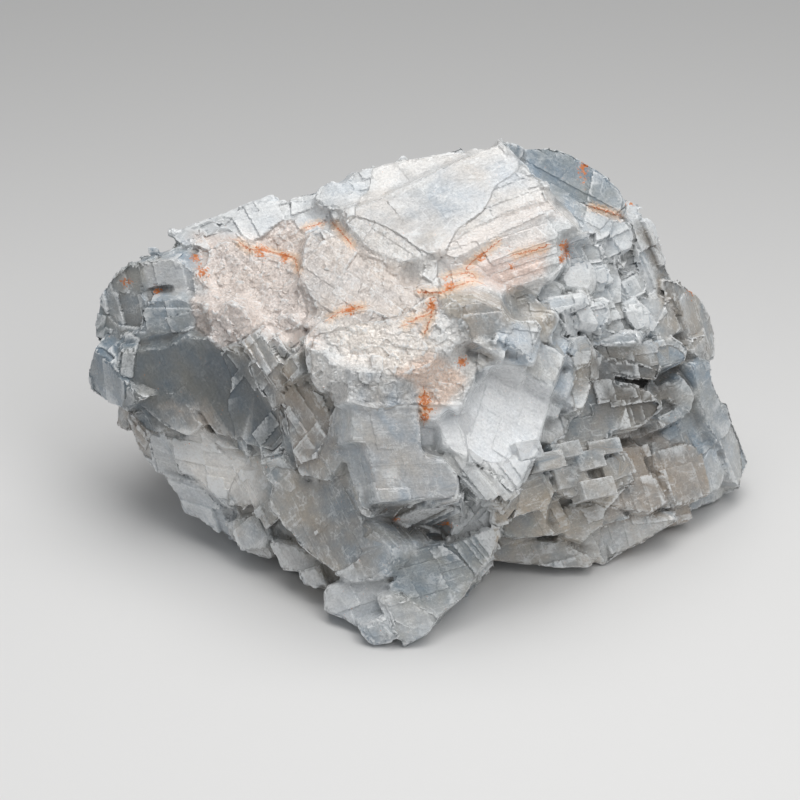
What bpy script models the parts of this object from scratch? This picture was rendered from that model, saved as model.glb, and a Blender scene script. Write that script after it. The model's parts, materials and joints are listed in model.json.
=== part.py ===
"""A rough piece of blue calcite: one solid grown and broken as one piece.

Units are metres in the scene and millimetres in the tables below. +Z is up, +Y points away from the side
that the photograph shows, and +X is to the right. The origin is at the middle of the underside.
"""

import itertools
import math
import random

import bmesh
import bpy
import numpy as np
from mathutils import Matrix, Vector, noise
from mathutils.bvhtree import BVHTree

MM = 0.001
WIDTH = 160.0  # mm that the stone's width in the photograph spans at the view's target: drives every size

STONE_COLOUR = (0.60, 0.64, 0.68, 1.0)
STONE_ROUGHNESS = 0.45

# The photograph's view: pixels of an 800 x 800 frame become points in millimetres.
FRAME_CENTRE = 400.0
VIEW_TILT = math.radians(34.0)
VIEW_DISTANCE = 900.0
VIEW_TARGET = Vector((0.0, 20.0, 61.0))
STONE_PIXELS = 660.0
PIXELS_PER_RADIAN = STONE_PIXELS / WIDTH * VIEW_DISTANCE

FORWARD = Vector((0.0, math.cos(VIEW_TILT), -math.sin(VIEW_TILT)))
UPWARD = Vector((0.0, math.sin(VIEW_TILT), math.cos(VIEW_TILT)))
EYE = VIEW_TARGET - FORWARD * VIEW_DISTANCE


def sight(px, py):
    """The direction in which the photograph's pixel looks."""
    across = (px - FRAME_CENTRE) / PIXELS_PER_RADIAN
    rise = (FRAME_CENTRE - py) / PIXELS_PER_RADIAN
    return (FORWARD + Vector((across, 0.0, 0.0)) + UPWARD * rise).normalized()


def seen(px, py, depth):
    """The point at that depth (mm behind the toe) which the photograph shows at a pixel."""
    way = sight(px, py)
    return EYE + way * ((depth - EYE.y) / way.y)


def pixels(points):
    """Where the photograph shows each point (rows of x, y, z in mm)."""
    rays = points - np.array(EYE)
    scale = PIXELS_PER_RADIAN / (rays @ np.array(FORWARD))
    return FRAME_CENTRE + rays[:, 0] * scale, FRAME_CENTRE - (rays @ np.array(UPWARD)) * scale


# Big lumps. Each is the hull of points: (pixel x, pixel y, depth), or a Vector where it is hidden.
LUMPS = {
    "body": [
        (92, 340, 66), (104, 292, 72), (124, 262, 78), (160, 250, 82), (208, 222, 86), (258, 202, 90),
        (320, 190, 92), (400, 165, 92), (497, 146, 78), (550, 152, 82), (592, 170, 82), (628, 210, 78),
        (90, 385, 63), (150, 462, 55), (262, 500, 36), (340, 480, 22), (350, 372, 25), (330, 340, 34),
        (430, 300, 40), (475, 320, 36), (560, 330, 42), (600, 460, 40), (660, 430, 52), (700, 360, 70),
        (680, 290, 76), (430, 500, 18), (500, 500, 24),
        Vector((-62, 92, 30)), Vector((-40, 104, 40)), Vector((10, 108, 60)), Vector((45, 102, 55)),
        Vector((66, 88, 40)), Vector((-30, 70, 4)), Vector((40, 90, 4)), Vector((-10, 98, 4)),
    ],
    "lower_left": [
        (240, 330, 52), (335, 400, 30), (390, 560, 14), (372, 500, 14), (330, 582, 18), (262, 500, 34),
        (235, 543, 43), (185, 505, 49), (150, 465, 55),
        Vector((-30, 80, 0)), Vector((20, 70, 0)), Vector((0, 70, 50)), Vector((-45, 75, 30)),
    ],
    "lower_right": [
        (480, 470, 26), (600, 455, 38), (700, 440, 62), (735, 425, 70), (747, 470, 66), (738, 503, 62),
        (640, 553, 39), (600, 566, 34), (520, 564, 33), (480, 560, 30), (500, 500, 26),
        Vector((70, 92, 4)), Vector((20, 95, 2)), Vector((60, 90, 30)), Vector((10, 60, 40)),
    ],
    "right_flank": [
        (672, 276, 80), (700, 297, 78), (716, 335, 76), (716, 360, 75), (714, 386, 74), (736, 426, 71),
        (745, 460, 68), (680, 430, 58), (650, 300, 70), (640, 400, 50),
        Vector((70, 92, 8)), Vector((64, 98, 30)), Vector((50, 92, 50)), Vector((20, 60, 30)),
    ],
    "toe": [
        (322, 590, 20), (326, 614, 15), (358, 628, 7), (374, 645, 1), (404, 648, 0), (428, 636, 2),
        (460, 600, 10), (497, 535, 24), (395, 560, 10), (345, 582, 18), (440, 520, 20),
        Vector((-10, 50, 0)), Vector((25, 50, 0)), Vector((10, 50, 25)),
    ],
}


# Cleavage plates and facets traced in the photograph, laid on the lumps: which way each faces (degrees right of
# the viewer, then degrees from level), how far it stands proud, how thick it is (mm), and its outline in pixels.
PLATES = {
    # the white top
    "top_plate": (-28, 25, 1.6, 14, [
        (343, 210), (378, 198), (430, 172), (478, 150), (497, 144), (513, 163), (534, 176), (546, 196),
        (500, 212), (462, 232), (440, 252), (400, 262), (372, 250), (352, 232)]),
    "strip_high": (-24, 26, 3.9, 12, [
        (443, 250), (462, 232), (500, 212), (546, 196), (556, 208), (500, 234), (453, 260)]),
    "strip_low": (-10, 36, 3.4, 12, [
        (415, 285), (426, 266), (453, 259), (500, 234), (556, 208), (571, 221), (577, 227), (520, 249), (480, 264),
        (446, 290)]),
    "strip_end": (34, 52, 4.5, 12, [
        (556, 236), (571, 228), (581, 233), (583, 262), (571, 266), (560, 262)]),
    "pink_ledge": (2, 50, 4.6, 14, [
        (452, 290), (480, 266), (520, 250), (556, 238), (561, 262), (548, 276), (520, 286), (495, 293),
        (470, 293)]),
    "pink_field": (-35, 36, 0.6, 12, [
        (196, 240), (205, 232), (232, 230), (245, 240), (262, 252), (296, 262), (300, 280), (300, 300),
        (312, 322), (290, 340), (283, 355), (262, 330), (240, 302), (212, 290), (200, 270)]),
    "white_shelf": (-28, 32, 1.2, 12, [
        (305, 232), (318, 226), (345, 245), (362, 258), (380, 262), (395, 280), (420, 300), (418, 320),
        (395, 318), (365, 308), (335, 315), (312, 300), (300, 280)]),
    "white_brow": (-10, 46, 2.0, 14, [
        (303, 338), (325, 318), (365, 310), (395, 320), (418, 322), (430, 340), (440, 352), (425, 374),
        (400, 376), (372, 374), (345, 360), (325, 352)]),
    "pink_lip": (5, 56, 5.0, 14, [
        (376, 362), (400, 356), (440, 352), (460, 362), (475, 385), (465, 400), (448, 408), (436, 420),
        (424, 419), (420, 400), (418, 393), (392, 393), (382, 380)]),
    "white_corner": (12, 45, 4.0, 12, [
        (430, 320), (450, 300), (466, 300), (462, 340), (446, 354), (432, 338)]),
    # the stepped prism in the middle
    "prism_upper": (15, 62, 5.5, 20, [
        (349, 368), (375, 372), (414, 380), (421, 434), (421, 446), (352, 442)]),
    "prism_lower": (15, 60, 8.0, 22, [
        (364, 440), (420, 443), (425, 456), (445, 460), (458, 475), (460, 498), (420, 500), (379, 502)]),
    # the bright cleavage face and its neighbours
    "bright_face": (22, 46, 4.0, 16, [
        (484, 372), (497, 355), (520, 368), (553, 391), (547, 415), (540, 440), (532, 460), (516, 490),
        (490, 470), (462, 458), (445, 445), (438, 420), (452, 408), (466, 400), (476, 388)]),
    "blue_face": (22, 46, 3.0, 14, [
        (541, 326), (572, 340), (568, 352), (560, 370), (553, 391), (530, 375), (498, 354), (495, 340)]),
    "small_block": (22, 42, 8.0, 14, [
        (508, 341), (516, 322), (535, 319), (542, 328), (530, 358), (508, 345)]),
    "tiny_block": (18, 45, 5.0, 10, [
        (477, 352), (492, 350), (497, 356), (488, 368), (477, 363)]),
    "grey_knob": (12, 66, 6.0, 14, [
        (461, 305), (478, 300), (502, 308), (514, 324), (508, 333), (480, 341), (462, 338)]),
    "prism_foot": (4, 112, 5.0, 14, [
        (356, 502), (380, 501), (420, 500), (461, 500), (464, 520), (446, 540), (420, 546), (403, 539),
        (380, 528), (361, 515)]),
    "white_tooth": (-20, 80, 5.0, 10, [(357, 497), (363, 508), (372, 512), (370, 519), (361, 515), (356, 505)]),
    # rods that step down under the bright face
    "rod_high": (-4, 60, 7.5, 12, [(446, 447), (462, 456), (492, 478), (488, 492), (470, 482), (449, 458)]),
    "rod_mid": (-4, 62, 6.5, 12, [(449, 458), (470, 474), (490, 490), (497, 505), (476, 498), (455, 478)]),
    "rod_low": (-2, 66, 6.5, 12, [(456, 478), (476, 490), (496, 505), (490, 518), (470, 512), (461, 498)]),
    "rod_tip": (10, 58, 6.0, 12, [(492, 478), (516, 488), (508, 500), (498, 502), (488, 492)]),
    # right of the bright face
    "white_curl": (30, 60, 3.0, 10, [
        (573, 341), (588, 337), (593, 348), (589, 364), (577, 372), (568, 362)]),
    "white_wedge": (30, 52, 3.5, 10, [(560, 376), (577, 368), (575, 384), (568, 399), (555, 392)]),
    "dark_side": (50, 80, 1.0, 10, [(590, 345), (602, 354), (598, 380), (578, 382), (577, 374), (589, 366)]),
    "stub_a": (32, 60, 3.0, 8, [(550, 402), (562, 408), (559, 420), (547, 415)]),
    "stub_b": (32, 60, 3.0, 8, [(541, 428), (558, 434), (556, 446), (541, 441)]),
    # the stack of blocks under the right end of the white top
    "block_end": (20, 50, 4.0, 14, [(561, 264), (590, 268), (592, 284), (587, 291), (562, 288)]),
    "block_left": (10, 62, 2.0, 12, [(520, 292), (546, 280), (562, 288), (560, 302), (535, 310), (515, 306)]),
    "bar_high": (15, 55, 5.0, 12, [(548, 300), (584, 295), (587, 304), (560, 313), (549, 309)]),
    "bar_white": (12, 52, 6.0, 14, [(562, 313), (605, 303), (608, 316), (602, 327), (575, 323)]),
    "bar_blue": (16, 56, 6.5, 16, [(606, 310), (643, 309), (646, 330), (640, 337), (601, 331)]),
    "bar_under": (18, 74, 3.5, 14, [(576, 325), (602, 330), (642, 337), (640, 345), (602, 345), (580, 340)]),
    "dark_notch": (35, 84, 0.5, 10, [(546, 318), (566, 312), (578, 326), (576, 338), (552, 330)]),
    "step_pale": (38, 46, 3.0, 14, [
        (583, 233), (600, 221), (630, 222), (636, 233), (634, 248), (618, 262), (600, 258), (583, 259)]),
    "step_edge": (34, 60, 3.5, 12, [(588, 268), (608, 262), (611, 283), (598, 286), (590, 280)]),
    "step_knob": (40, 58, 4.0, 12, [
        (622, 280), (632, 268), (641, 271), (648, 283), (645, 293), (630, 299), (619, 290)]),
    "step_low": (30, 62, 3.0, 12, [(592, 288), (620, 292), (632, 300), (640, 308), (606, 308), (590, 300)]),
    "step_outer": (45, 55, 3.5, 14, [
        (642, 298), (664, 296), (676, 312), (684, 330), (668, 338), (648, 332), (646, 312)]),
    # the top behind the plate, and the right shoulder
    "shoulder": (30, 38, 1.5, 14, [
        (513, 150), (530, 148), (550, 147), (575, 156), (600, 172), (620, 190), (628, 206), (618, 214),
        (590, 204), (560, 196), (548, 194), (534, 176), (520, 165)]),
    "shoulder_step": (28, 42, 1.5, 12, [
        (560, 203), (590, 208), (618, 216), (622, 222), (600, 222), (584, 232), (580, 231), (571, 221)]),
    "shoulder_tip": (20, 60, 3.0, 8, [(504, 140), (516, 142), (527, 149), (521, 163), (511, 156)]),
    "crown_back": (-30, 28, 3.0, 14, [
        (350, 190), (352, 171), (372, 166), (400, 160), (440, 154), (470, 151), (425, 174), (380, 195)]),
    "crown_step": (-30, 30, 4.0, 14, [
        (318, 186), (333, 181), (342, 183), (348, 192), (375, 196), (345, 209), (322, 206), (314, 202)]),
    "crown_wall": (-50, 70, 2.0, 8, [(338, 182), (349, 170), (362, 190), (350, 192)]),
    "left_crown": (-20, 30, 2.5, 12, [
        (240, 206), (258, 200), (300, 201), (314, 204), (330, 214), (318, 226), (285, 232), (262, 238),
        (245, 238), (232, 228), (222, 222)]),
    "left_crown_low": (-35, 34, 2.0, 12, [
        (170, 246), (185, 228), (208, 217), (222, 222), (230, 230), (205, 232), (196, 240), (200, 256),
        (180, 254)]),
    # the right flank
    "flank_plane": (60, 62, 0.6, 16, [
        (624, 215), (640, 218), (653, 226), (656, 246), (672, 276), (683, 302), (690, 330), (700, 356),
        (686, 350), (672, 318), (654, 300), (645, 288), (640, 262), (637, 240), (632, 224)]),
    "flank_upper": (68, 66, 1.0, 14, [
        (674, 279), (688, 286), (702, 300), (712, 318), (716, 336), (716, 357), (700, 361), (692, 345),
        (684, 318), (676, 300)]),
    "flank_blue": (55, 72, 3.0, 10, [(694, 338), (708, 334), (709, 352), (698, 358), (692, 350)]),
    "flank_lower": (58, 72, 2.0, 16, [
        (693, 364), (711, 361), (714, 384), (725, 410), (736, 426), (743, 446), (746, 470), (742, 490),
        (730, 480), (725, 452), (712, 432), (702, 408)]),
    # the broken right front
    "shelf": (30, 58, 4.0, 14, [
        (604, 345), (642, 344), (672, 336), (690, 348), (686, 362), (660, 369), (622, 362), (598, 356)]),
    "shelf_low": (28, 70, 2.5, 12, [
        (600, 358), (640, 364), (662, 372), (656, 382), (640, 380), (605, 372), (596, 368)]),
    "wedge_face": (42, 66, 3.5, 14, [(662, 390), (686, 378), (697, 396), (692, 414), (668, 400)]),
    "ramp": (26, 62, 1.3, 14, [
        (582, 384), (604, 380), (650, 390), (664, 408), (650, 424), (612, 432), (592, 452), (564, 452),
        (560, 430), (566, 404)]),
    "ramp_low": (20, 70, 2.0, 12, [
        (545, 446), (560, 455), (590, 458), (582, 470), (556, 476), (546, 468), (536, 462)]),
    "lower_face": (26, 60, 1.8, 16, [
        (603, 460), (620, 448), (640, 444), (650, 470), (668, 502), (650, 514), (612, 508), (596, 500),
        (600, 478)]),
    "lower_bulge": (44, 62, 1.2, 16, [
        (652, 442), (674, 426), (700, 430), (716, 448), (726, 474), (722, 490), (700, 498), (676, 506),
        (668, 490), (655, 466)]),
    "ribbed_fan": (18, 66, 4.5, 12, [
        (552, 470), (580, 476), (598, 488), (590, 498), (565, 496), (550, 484)]),
    "keel": (18, 76, 1.2, 16, [
        (588, 522), (640, 515), (678, 520), (655, 538), (640, 546), (604, 566), (592, 562), (576, 545)]),
    "keel_band": (2, 72, 2.0, 14, [
        (490, 542), (520, 540), (565, 544), (598, 560), (590, 568), (560, 569), (520, 565), (488, 562)]),
    "folds": (14, 58, 2.2, 12, [
        (566, 506), (600, 504), (632, 518), (600, 528), (584, 542), (566, 538), (560, 520)]),
    "fan_grey": (6, 70, 2.2, 12, [
        (500, 520), (530, 506), (548, 508), (546, 524), (560, 536), (520, 540), (498, 538)]),
    "tongue": (20, 70, 5.5, 12, [
        (497, 508), (520, 488), (536, 464), (548, 478), (555, 492), (548, 508), (534, 512), (512, 520),
        (496, 524)]),
    "fan_root": (6, 70, 7.0, 16, [
        (456, 506), (474, 500), (490, 502), (504, 512), (498, 526), (494, 538), (470, 548), (448, 542)]),
    # the toe
    "toe_plate": (14, 52, 2.5, 12, [
        (394, 560), (420, 548), (450, 544), (494, 526), (497, 536), (490, 560), (466, 598), (442, 616),
        (420, 604), (399, 590)]),
    "toe_step": (10, 60, 2.0, 12, [
        (382, 599), (400, 592), (421, 606), (441, 618), (430, 634), (410, 628), (394, 620)]),
    "toe_left": (-24, 58, 2.0, 12, [
        (324, 588), (345, 582), (386, 580), (397, 592), (382, 600), (388, 617), (358, 627), (345, 620),
        (325, 612)]),
    "toe_pink": (-8, 74, 2.0, 10, [(358, 628), (386, 619), (398, 640), (374, 646)]),
    "toe_tip": (4, 76, 2.0, 10, [(392, 620), (410, 629), (428, 636), (404, 648)]),
    # the left front: long planes that run down to the toe
    "dark_face": (-22, 77, 0.5, 14, [
        (120, 352), (142, 350), (165, 348), (186, 336), (206, 340), (222, 322), (240, 345), (262, 378),
        (280, 404), (288, 440), (275, 452), (240, 442), (215, 434), (200, 412), (178, 396), (135, 388),
        (118, 370)]),
    "squares": (-22, 74, 1.5, 10, [
        (142, 302), (176, 298), (200, 303), (208, 322), (190, 334), (165, 345), (148, 346), (140, 325)]),
    "left_slab": (-25, 66, 3.0, 12, [
        (140, 262), (176, 258), (198, 274), (212, 292), (222, 322), (205, 304), (196, 299), (176, 297),
        (172, 286), (150, 288), (142, 275)]),
    "left_column": (-46, 74, 0.6, 16, [
        (103, 290), (113, 272), (126, 260), (140, 262), (141, 300), (139, 326), (126, 352), (110, 345),
        (95, 340), (98, 312)]),
    "left_chip": (-30, 74, 1.6, 8, [(200, 304), (218, 312), (240, 345), (238, 352), (222, 344), (212, 330)]),
    "left_edge": (-50, 92, 2.0, 12, [
        (92, 350), (108, 362), (120, 378), (140, 400), (126, 412), (104, 402), (89, 388), (87, 370)]),
    "pale_ledge": (-26, 72, 4.0, 14, [
        (118, 374), (135, 389), (178, 397), (192, 410), (202, 426), (186, 436), (165, 426), (146, 410),
        (128, 396)]),
    "pale_facets": (-22, 70, 2.6, 14, [
        (163, 436), (182, 438), (202, 428), (220, 440), (240, 456), (262, 474), (262, 504), (226, 508),
        (200, 482), (178, 474)]),
    "under_left": (-36, 92, 0.8, 14, [
        (126, 414), (148, 412), (164, 436), (178, 475), (160, 474), (142, 456)]),
    "under_mid": (-30, 92, 2.5, 14, [
        (162, 476), (200, 484), (222, 510), (226, 526), (234, 544), (214, 530), (184, 506)]),
    "long_upper": (-32, 60, 1.4, 12, [
        (224, 300), (240, 306), (268, 345), (292, 380), (276, 392), (250, 356), (230, 326)]),
    "long_plane": (-30, 70, 2.0, 14, [
        (270, 350), (300, 384), (322, 396), (336, 432), (345, 456), (328, 482), (298, 476), (288, 440),
        (282, 404), (262, 372)]),
    "low_plane": (-28, 72, 2.5, 14, [
        (298, 482), (330, 482), (346, 470), (356, 500), (362, 518), (392, 548), (394, 562), (385, 578),
        (350, 582), (326, 568), (300, 548), (268, 508), (272, 486)]),
    "crumb_ledge": (-30, 66, 4.5, 10, [
        (258, 462), (280, 456), (302, 478), (304, 490), (284, 494), (266, 480)]),
    "cleft_rod_a": (-30, 66, 3.5, 10, [(283, 358), (298, 352), (300, 374), (290, 384), (276, 372)]),
    "cleft_rod_b": (-28, 68, 4.0, 10, [(302, 342), (330, 356), (336, 382), (322, 390), (306, 366)]),
    "prism_side": (-50, 80, 2.0, 12, [(334, 356), (349, 366), (352, 442), (362, 500), (356, 498), (340, 448)]),
    "low_block_a": (-24, 64, 3.0, 10, [(222, 522), (258, 514), (270, 532), (262, 550), (240, 550), (226, 536)]),
    "low_block_b": (-24, 66, 2.5, 10, [(268, 542), (298, 546), (318, 562), (296, 571), (281, 570)]),
    "low_block_c": (-20, 70, 2.5, 10, [(297, 572), (318, 566), (326, 584), (316, 590), (302, 585)]),
}


# The stone's outline in the photograph. Nothing but the corners of blocks passes it.
OUTLINE = [
    (87, 370), (90, 352), (103, 290), (112, 272), (125, 260), (160, 248), (185, 230), (208, 216), (240, 206),
    (258, 198), (312, 202), (318, 185), (345, 170), (372, 165), (440, 150), (497, 139), (505, 139), (527, 149),
    (550, 146), (592, 165), (620, 190), (630, 207), (653, 225), (672, 275), (702, 300), (716, 335), (716, 358),
    (713, 385), (735, 425), (748, 470), (740, 500), (705, 512), (688, 523), (640, 553), (604, 567), (520, 565),
    (478, 580), (466, 598), (430, 634), (404, 648), (374, 646), (358, 628), (326, 614), (322, 590), (300, 583),
    (281, 570), (262, 550), (240, 550), (222, 530), (185, 508), (150, 470), (125, 430), (100, 402), (88, 388),
]

# Calcite breaks along three planes. An edge of the cleavage block meets each of the other two at this angle.
EDGE_ANGLE = math.radians(101.9)

# The grains, each with its own cleavage: its middle (pixel x, pixel y, depth, or a Vector where it is hidden),
# the way one cleavage plane faces (heading, tilt), the way one edge runs (two pixels, or a Vector), and how far
# apart the planes lie along the three edges (mm). Inside a grain the stone ends in steps on these planes.
GRAINS = {
    "top": ((430, 195, 70), (-28, 25), ((343, 210), (497, 144)), (15, 10, 2.6)),
    "crown": ((330, 200, 84), (-25, 32), ((318, 186), (400, 160)), (10, 8, 4)),
    "left_crown": ((235, 220, 80), (-30, 32), ((185, 228), (258, 200)), (9, 8, 3.5)),
    "strips": ((520, 235, 52), (-12, 30), ((440, 285), (560, 245)), (15, 4.5, 2.6)),
    "pink": ((250, 275, 62), (-35, 38), ((212, 290), (262, 252)), (7, 6, 3)),
    "white": ((365, 285, 44), (-28, 32), ((318, 300), (395, 262)), (9, 7, 3)),
    "brow": ((400, 355, 28), (5, 50), ((345, 360), (425, 374)), (7, 6, 4)),
    "prism": ((400, 450, 16), (15, 62), ((364, 440), (458, 436)), (8, 8, 4)),
    "bright": ((500, 400, 34), (22, 46), ((497, 355), (553, 391)), (8, 6, 3.5)),
    "stack": ((590, 300, 54), (18, 56), ((562, 313), (605, 303)), (8, 4.5, 4)),
    "stack_end": ((640, 270, 66), (38, 50), ((600, 262), (645, 240)), (6, 5, 4)),
    "shoulder": ((585, 175, 78), (30, 38), ((520, 165), (590, 204)), (12, 8, 3)),
    "flank": ((695, 320, 74), (62, 64), ((655, 226), (700, 356)), (12, 6, 3)),
    "front": ((615, 385, 46), (28, 62), ((600, 358), (660, 350)), (7, 4, 3.5)),
    "front_end": ((690, 400, 62), (44, 66), ((662, 390), (697, 372)), (6, 4.5, 3.5)),
    "low_right": ((660, 470, 50), (36, 62), ((620, 448), (700, 430)), (8, 5, 3.5)),
    "edge_right": ((735, 470, 66), (60, 74), ((714, 384), (746, 470)), (9, 7, 4)),
    "fan": ((550, 500, 30), (14, 66), ((500, 520), (560, 500)), (8, 4, 3.5)),
    "toe": ((410, 600, 6), (12, 54), ((394, 560), (450, 544)), (9, 6, 4)),
    "low_left": ((310, 520, 26), (-28, 72), ((298, 482), (350, 582)), (16, 8, 2.6)),
    "cleft": ((300, 400, 40), (-30, 68), ((240, 342), (300, 440)), (12, 5, 3.5)),
    "dark": ((195, 385, 56), (-22, 77), ((142, 350), (222, 322)), (14, 8, 2.4)),
    "left_head": ((160, 290, 72), (-27, 68), ((142, 302), (200, 303)), (8, 7, 3)),
    "left_end": ((100, 345, 70), (-60, 80), ((103, 290), (95, 390)), (10, 8, 4)),
    "left_foot": ((190, 470, 50), (-30, 84), ((163, 436), (240, 456)), (8, 7, 4)),
    "back_left": (Vector((-58, 95, 55)), (-140, 66), Vector((1, 0.5, -0.4)), (15, 11, 7)),
    "back": (Vector((-10, 108, 50)), (170, 68), Vector((1, 0, 0.5)), (18, 13, 7)),
    "back_right": (Vector((55, 100, 40)), (135, 72), Vector((1, 1, 0.3)), (14, 11, 7)),
    "back_top": (Vector((15, 100, 82)), (160, 34), Vector((1, 0.2, 0)), (17, 12, 5)),
    "back_low": (Vector((0, 100, 12)), (178, 100), Vector((1, 0, -0.4)), (17, 13, 8)),
    "under": (Vector((0, 55, 2)), (20, 172), Vector((1, 0.3, 0)), (20, 16, 6)),
    "under_left": (Vector((-58, 62, 22)), (-70, 130), Vector((0.3, 1, 0)), (12, 10, 6)),
}
SPREAD = 0.45    # how unevenly the planes of a grain are spaced
OVERLAP = 3.0    # mm that a grain reaches into its neighbours
SKIN = 13.0      # mm below the lumps' surface that the steps go
SHRINK = 4.5     # mm that the solid middle lies under the lumps' surface
SUNK = -1.2      # mm from the lumps' surface to the middle of the outermost blocks
ROUGHNESS = 2.6  # mm that this varies by
SWELLING = 14.0  # mm across one swelling of the rough surface
REACH = 46.0     # mm from a grain's middle to its last plane
CORNERS = (0.15, 0.85)  # places across a block that are looked at beside the outline
DEEPEST = -3.0   # mm, the lowest height at which blocks are made; what is under the floor is cut off

# Plates with nothing on top of them.
CLEAN = ("top_plate", "bright_face", "prism_upper", "prism_lower", "blue_face", "small_block", "dark_face",
         "low_plane", "toe_plate", "prism_foot", "bar_white", "bar_blue", "shoulder", "flank_plane", "toe_left",
         "long_plane", "strip_low", "pink_ledge", "pink_lip", "rod_high", "rod_mid", "rod_low")
CLEARING = 12.0  # mm of room over them
INSET = 0.3      # mm

DRAFT = 0.3        # how much wider a plate grows with each mm of depth
FLOOR = 0.6        # mm above the lumps' lowest point
SEARCHED = range(0, 120, 4)  # mm behind the toe, where a line of sight that misses the lumps is looked at
CUTTER = 400.0     # mm along each edge of the box under the floor, which cuts the underside flat
SAME_POINT = 0.02  # mm between points that are joined
SAME_PLANE = math.radians(0.3)  # between faces that are joined
ORIGIN = Vector((5.87, 55.9, FLOOR))  # the middle of the underside, in the tables' millimetres


def hull_of(points):
    """A closed mesh around the points."""
    shape = bmesh.new()
    for point in points:
        shape.verts.new(point * MM)
    bmesh.ops.convex_hull(shape, input=shape.verts, use_existing_faces=False)
    loose = [v for v in shape.verts if not v.link_faces]
    bmesh.ops.delete(shape, geom=loose, context="VERTS")
    bmesh.ops.recalc_face_normals(shape, faces=shape.faces)
    return shape


def lump_points(name):
    return [p if isinstance(p, Vector) else seen(*p) for p in LUMPS[name]]


def shrunk(points, by):
    """The points moved towards their middle by about that many millimetres."""
    middle = sum(points, Vector()) / len(points)
    return [middle + (p - middle) * (1.0 - by / (p - middle).length) for p in points]


def tree_of(shapes):
    """Something to cast rays at, in millimetres."""
    points, faces = [], []
    for shape in shapes:
        start = len(points)
        shape.verts.ensure_lookup_table()
        shape.verts.index_update()
        points += [v.co / MM for v in shape.verts]
        faces += [[start + v.index for v in f.verts] for f in shape.faces]
    return BVHTree.FromPolygons(points, faces)


def walls_of(shape):
    """The planes of a convex mesh as rows (normal, distance), in millimetres."""
    return np.array([(*f.normal, f.normal.dot(f.verts[0].co) / MM) for f in shape.faces])


def height_above(hulls, points):
    """How far each point lies outside the nearest lump (mm), below nought inside."""
    return np.min([(points @ walls[:, :3].T - walls[:, 3]).max(axis=1) for walls in hulls], axis=0)


def within_outline(points):
    """Whether the photograph shows each point inside the stone's outline."""
    x, y = pixels(points)
    inside = np.zeros(len(points), dtype=bool)
    for (ax, ay), (bx, by) in zip(OUTLINE, OUTLINE[1:] + OUTLINE[:1]):
        if ay != by:
            inside ^= ((ay > y) != (by > y)) & (x < ax + (y - ay) * (bx - ax) / (by - ay))
    return inside


def facing(heading, tilt):
    """The way out of a facet: degrees right of the viewer, then degrees from level."""
    turn, slope = math.radians(heading), math.radians(tilt)
    return Vector((math.sin(slope) * math.sin(turn), -math.sin(slope) * math.cos(turn), math.cos(slope)))


def on_plane(px, py, point, out):
    """Where a pixel's sight line meets the plane."""
    way = sight(px, py)
    return EYE + way * ((point - EYE).dot(out) / way.dot(out))


def ground(core, px, py):
    """Where a pixel's sight line meets the lumps or, just past their edge, where it passes nearest."""
    hit = core.ray_cast(EYE, sight(px, py))[0]
    if hit:
        return hit
    passing = [seen(px, py, depth) for depth in SEARCHED]
    return min(passing, key=lambda point: core.find_nearest(point)[3])


def prism(top, bottom):
    """A closed mesh between two outlines with as many corners."""
    shape = bmesh.new()
    front = [shape.verts.new(c * MM) for c in top]
    back = [shape.verts.new(c * MM) for c in bottom]
    shape.faces.new(front)
    shape.faces.new(list(reversed(back)))
    for i in range(len(front)):
        j = (i + 1) % len(front)
        shape.faces.new((front[i], back[i], back[j], front[j]))
    bmesh.ops.recalc_face_normals(shape, faces=shape.faces)
    return shape


def face_corners(core, name):
    """The corners of a plate's face and its way out."""
    heading, tilt, proud, _, outline = PLATES[name]
    out = facing(heading, tilt)
    middle_x = sum(p[0] for p in outline) / len(outline)
    middle_y = sum(p[1] for p in outline) / len(outline)
    anchor = ground(core, middle_x, middle_y) + out * proud
    return [on_plane(px, py, anchor, out) for px, py in outline], out


def plate(core, name):
    """The outline laid on its plane and pushed into the stone, wider with depth."""
    corners, out = face_corners(core, name)
    thick = PLATES[name][3]
    middle = sum(corners, Vector()) / len(corners)
    wide = [c + (c - middle).normalized() * (thick * DRAFT) - out * thick for c in corners]
    kept = within_outline(np.array(wide))
    return prism(corners, [w if k else c - out * thick for c, w, k in zip(corners, wide, kept)])


def clearing(core, name):
    """The room kept free over a plate's face. Its foot lies just inside the plate."""
    corners, out = face_corners(core, name)
    middle = sum(corners, Vector()) / len(corners)
    foot = [c + (middle - c).normalized() * INSET - out * INSET for c in corners]
    return prism([c + out * CLEARING for c in foot], foot)


def cleavage(out, along):
    """A block's three edges: two in the plane that faces out, one of them along, and the third going in."""
    first = (along - out * along.dot(out)).normalized()
    second = Matrix.Rotation(EDGE_ANGLE, 3, out) @ first
    middle = (first + second).normalized()
    lean = math.cos(EDGE_ANGLE) / middle.dot(first)
    third = middle * lean - out * math.sqrt(1.0 - lean * lean)
    return first, second, third


def ticks(spacing, reach, dice):
    """Uneven places of a grain's planes along one edge."""
    places = [-reach]
    while places[-1] < reach:
        places.append(places[-1] + spacing * dice.uniform(1.0 - SPREAD, 1.0 + SPREAD))
    return places


def grain_frame(name):
    """A grain's middle and its three edges."""
    middle, (heading, tilt), edge, _ = GRAINS[name]
    out = facing(heading, tilt)
    if not isinstance(middle, Vector):
        middle = seen(*middle)
    if isinstance(edge, Vector):
        along = edge
    else:
        along = on_plane(*edge[1], middle, out) - on_plane(*edge[0], middle, out)
    return middle, cleavage(out, along)


def grid_points(name, places):
    """The points of a grain's frame at these places along its edges, one row each."""
    middle, edges = grain_frame(name)
    grid = np.meshgrid(*places, indexing="ij")
    points = np.array(middle) + sum(g[..., None] * np.array(e) for g, e in zip(grid, edges))
    return points.reshape(-1, 3)


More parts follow.
